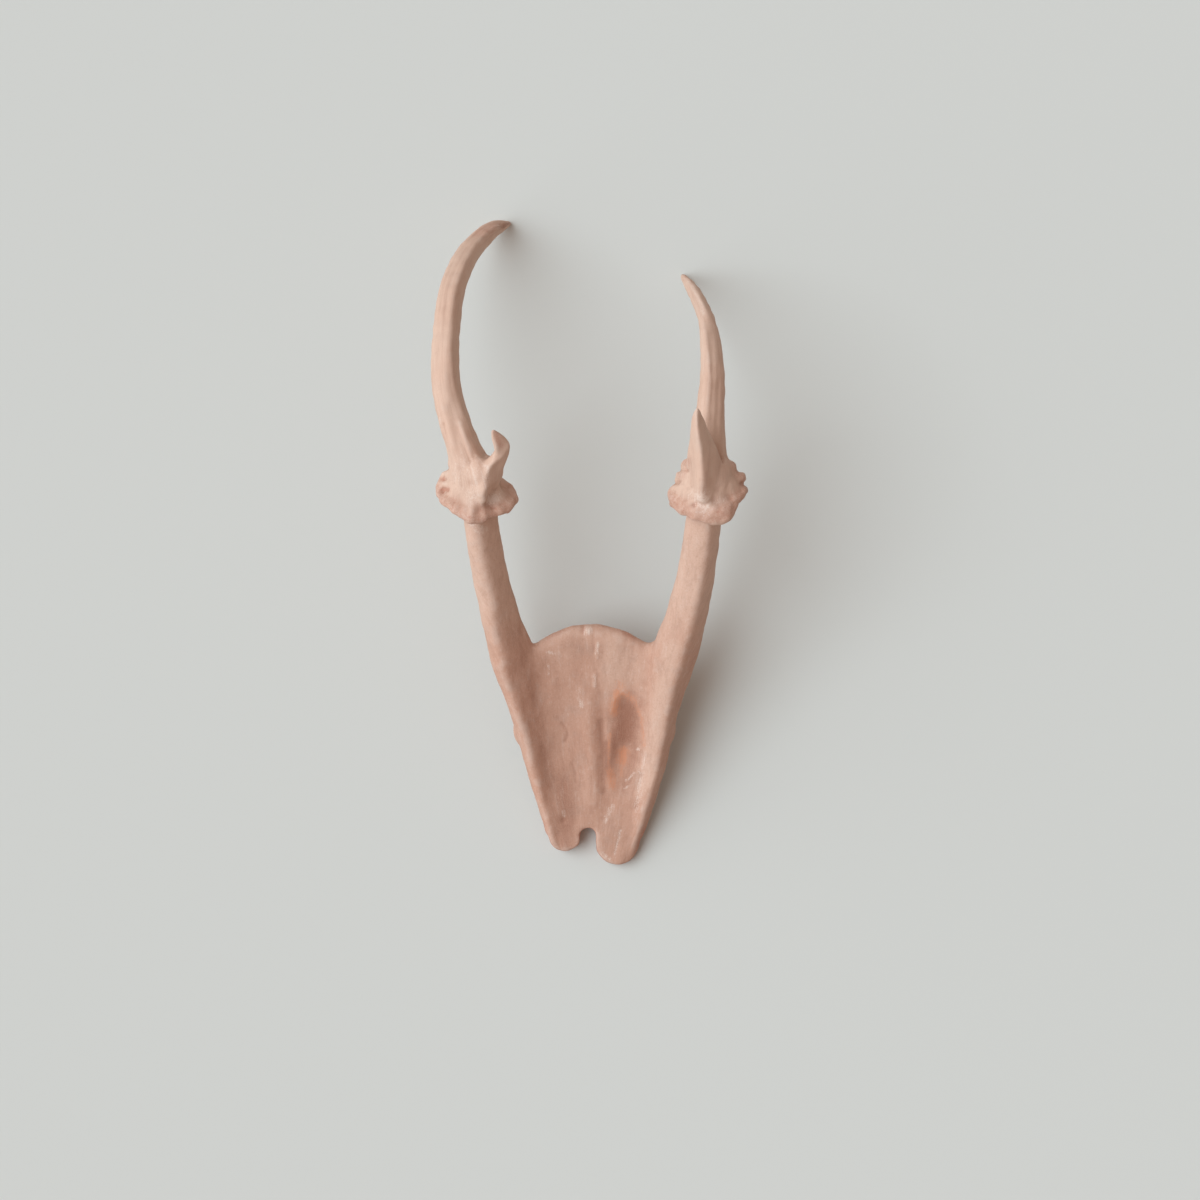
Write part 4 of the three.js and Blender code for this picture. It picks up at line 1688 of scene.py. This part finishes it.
@dataclass(frozen=True)
class Studio:
    """Pale floor, soft light from the left and the camera straight above.

    Attributes:
        floor_tone: Screen colour of the floor.
        floor_rough: Its roughness.
        floor_shine: Strength of its gloss.
        floor_side: Side of the floor, in metres.
        lamps: The lamps.
        fill: Strength of the even light from all round.
        fill_tone: Its colour.
        eye: The camera's place, in metres.
        sensor: Width of the sensor, in millimetres.
        lens: Focal length, in millimetres.
    """

    floor_tone: Tone = (211, 213, 209)
    floor_rough: float = 0.9
    floor_shine: float = 0.2
    floor_side: float = 6.0
    lamps: tuple[Lamp, ...] = (
        Lamp("key_light", (-0.56, 0.07, 0.82), 50.0, 1.72),
        Lamp("side_light", (-0.89, 0.04, 0.43), 90.0, 1.55),
    )
    fill: float = 0.35
    fill_tone: tuple[float, float, float, float] = (1.0, 0.78, 0.66, 1.0)
    eye: Triple = (0.00365, -0.0221, 1.3)
    sensor: float = 36.0
    lens: float = 101.2

    def build(self) -> None:
        """Sets up floor, light and camera."""
        scene = bpy.context.scene
        self._floor()
        for lamp in self.lamps:
            lamp.light()
        world = bpy.data.worlds.new("soft_room")
        world.use_nodes = True
        back = world.node_tree.nodes["Background"]
        back.inputs["Color"].default_value = self.fill_tone
        back.inputs["Strength"].default_value = self.fill
        scene.world = world
        bpy.ops.object.camera_add(location=self.eye, rotation=ORIGIN)
        camera = bpy.context.object
        camera.name = "view_from_above"
        camera.data.sensor_width = self.sensor
        camera.data.lens = self.lens
        scene.camera = camera
        scene.view_settings.view_transform = "Standard"

    def _floor(self) -> None:
        """Lays the floor."""
        floor = primitive("pale_floor", bpy.ops.mesh.primitive_plane_add, size=self.floor_side)
        bench = NodeBench("pale_floor")
        bench.shader.inputs["Base Color"].default_value = linear(*self.floor_tone)
        bench.shader.inputs["Roughness"].default_value = self.floor_rough
        bench.shader.inputs["Specular IOR Level"].default_value = self.floor_shine
        floor.data.materials.append(bench.material)


def main() -> None:
    """Builds the skull bone, the two antlers and the studio, and logs vertex counts and progress."""
    logging.basicConfig(level=logging.INFO, format="%(name)s %(message)s")
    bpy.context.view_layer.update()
    skull = SkullBone()
    skull.dress(skull.build(), ClayFinish("clay_bone").make())
    LOG.info("skull bone in place")
    antler_tones = ((215, 182, 162), (212, 175, 154), (208, 178, 160))
    for antler in (left_antler(), right_antler()):
        finish = ClayFinish(f"clay_{antler.side.value}_antler", *antler_tones, streak=0.2, speck=0.06)
        antler.dress(antler.build(), finish.make())
        LOG.info("%s antler in place", antler.side.value)
    Studio().build()


if __name__ == "__main__":
    main()
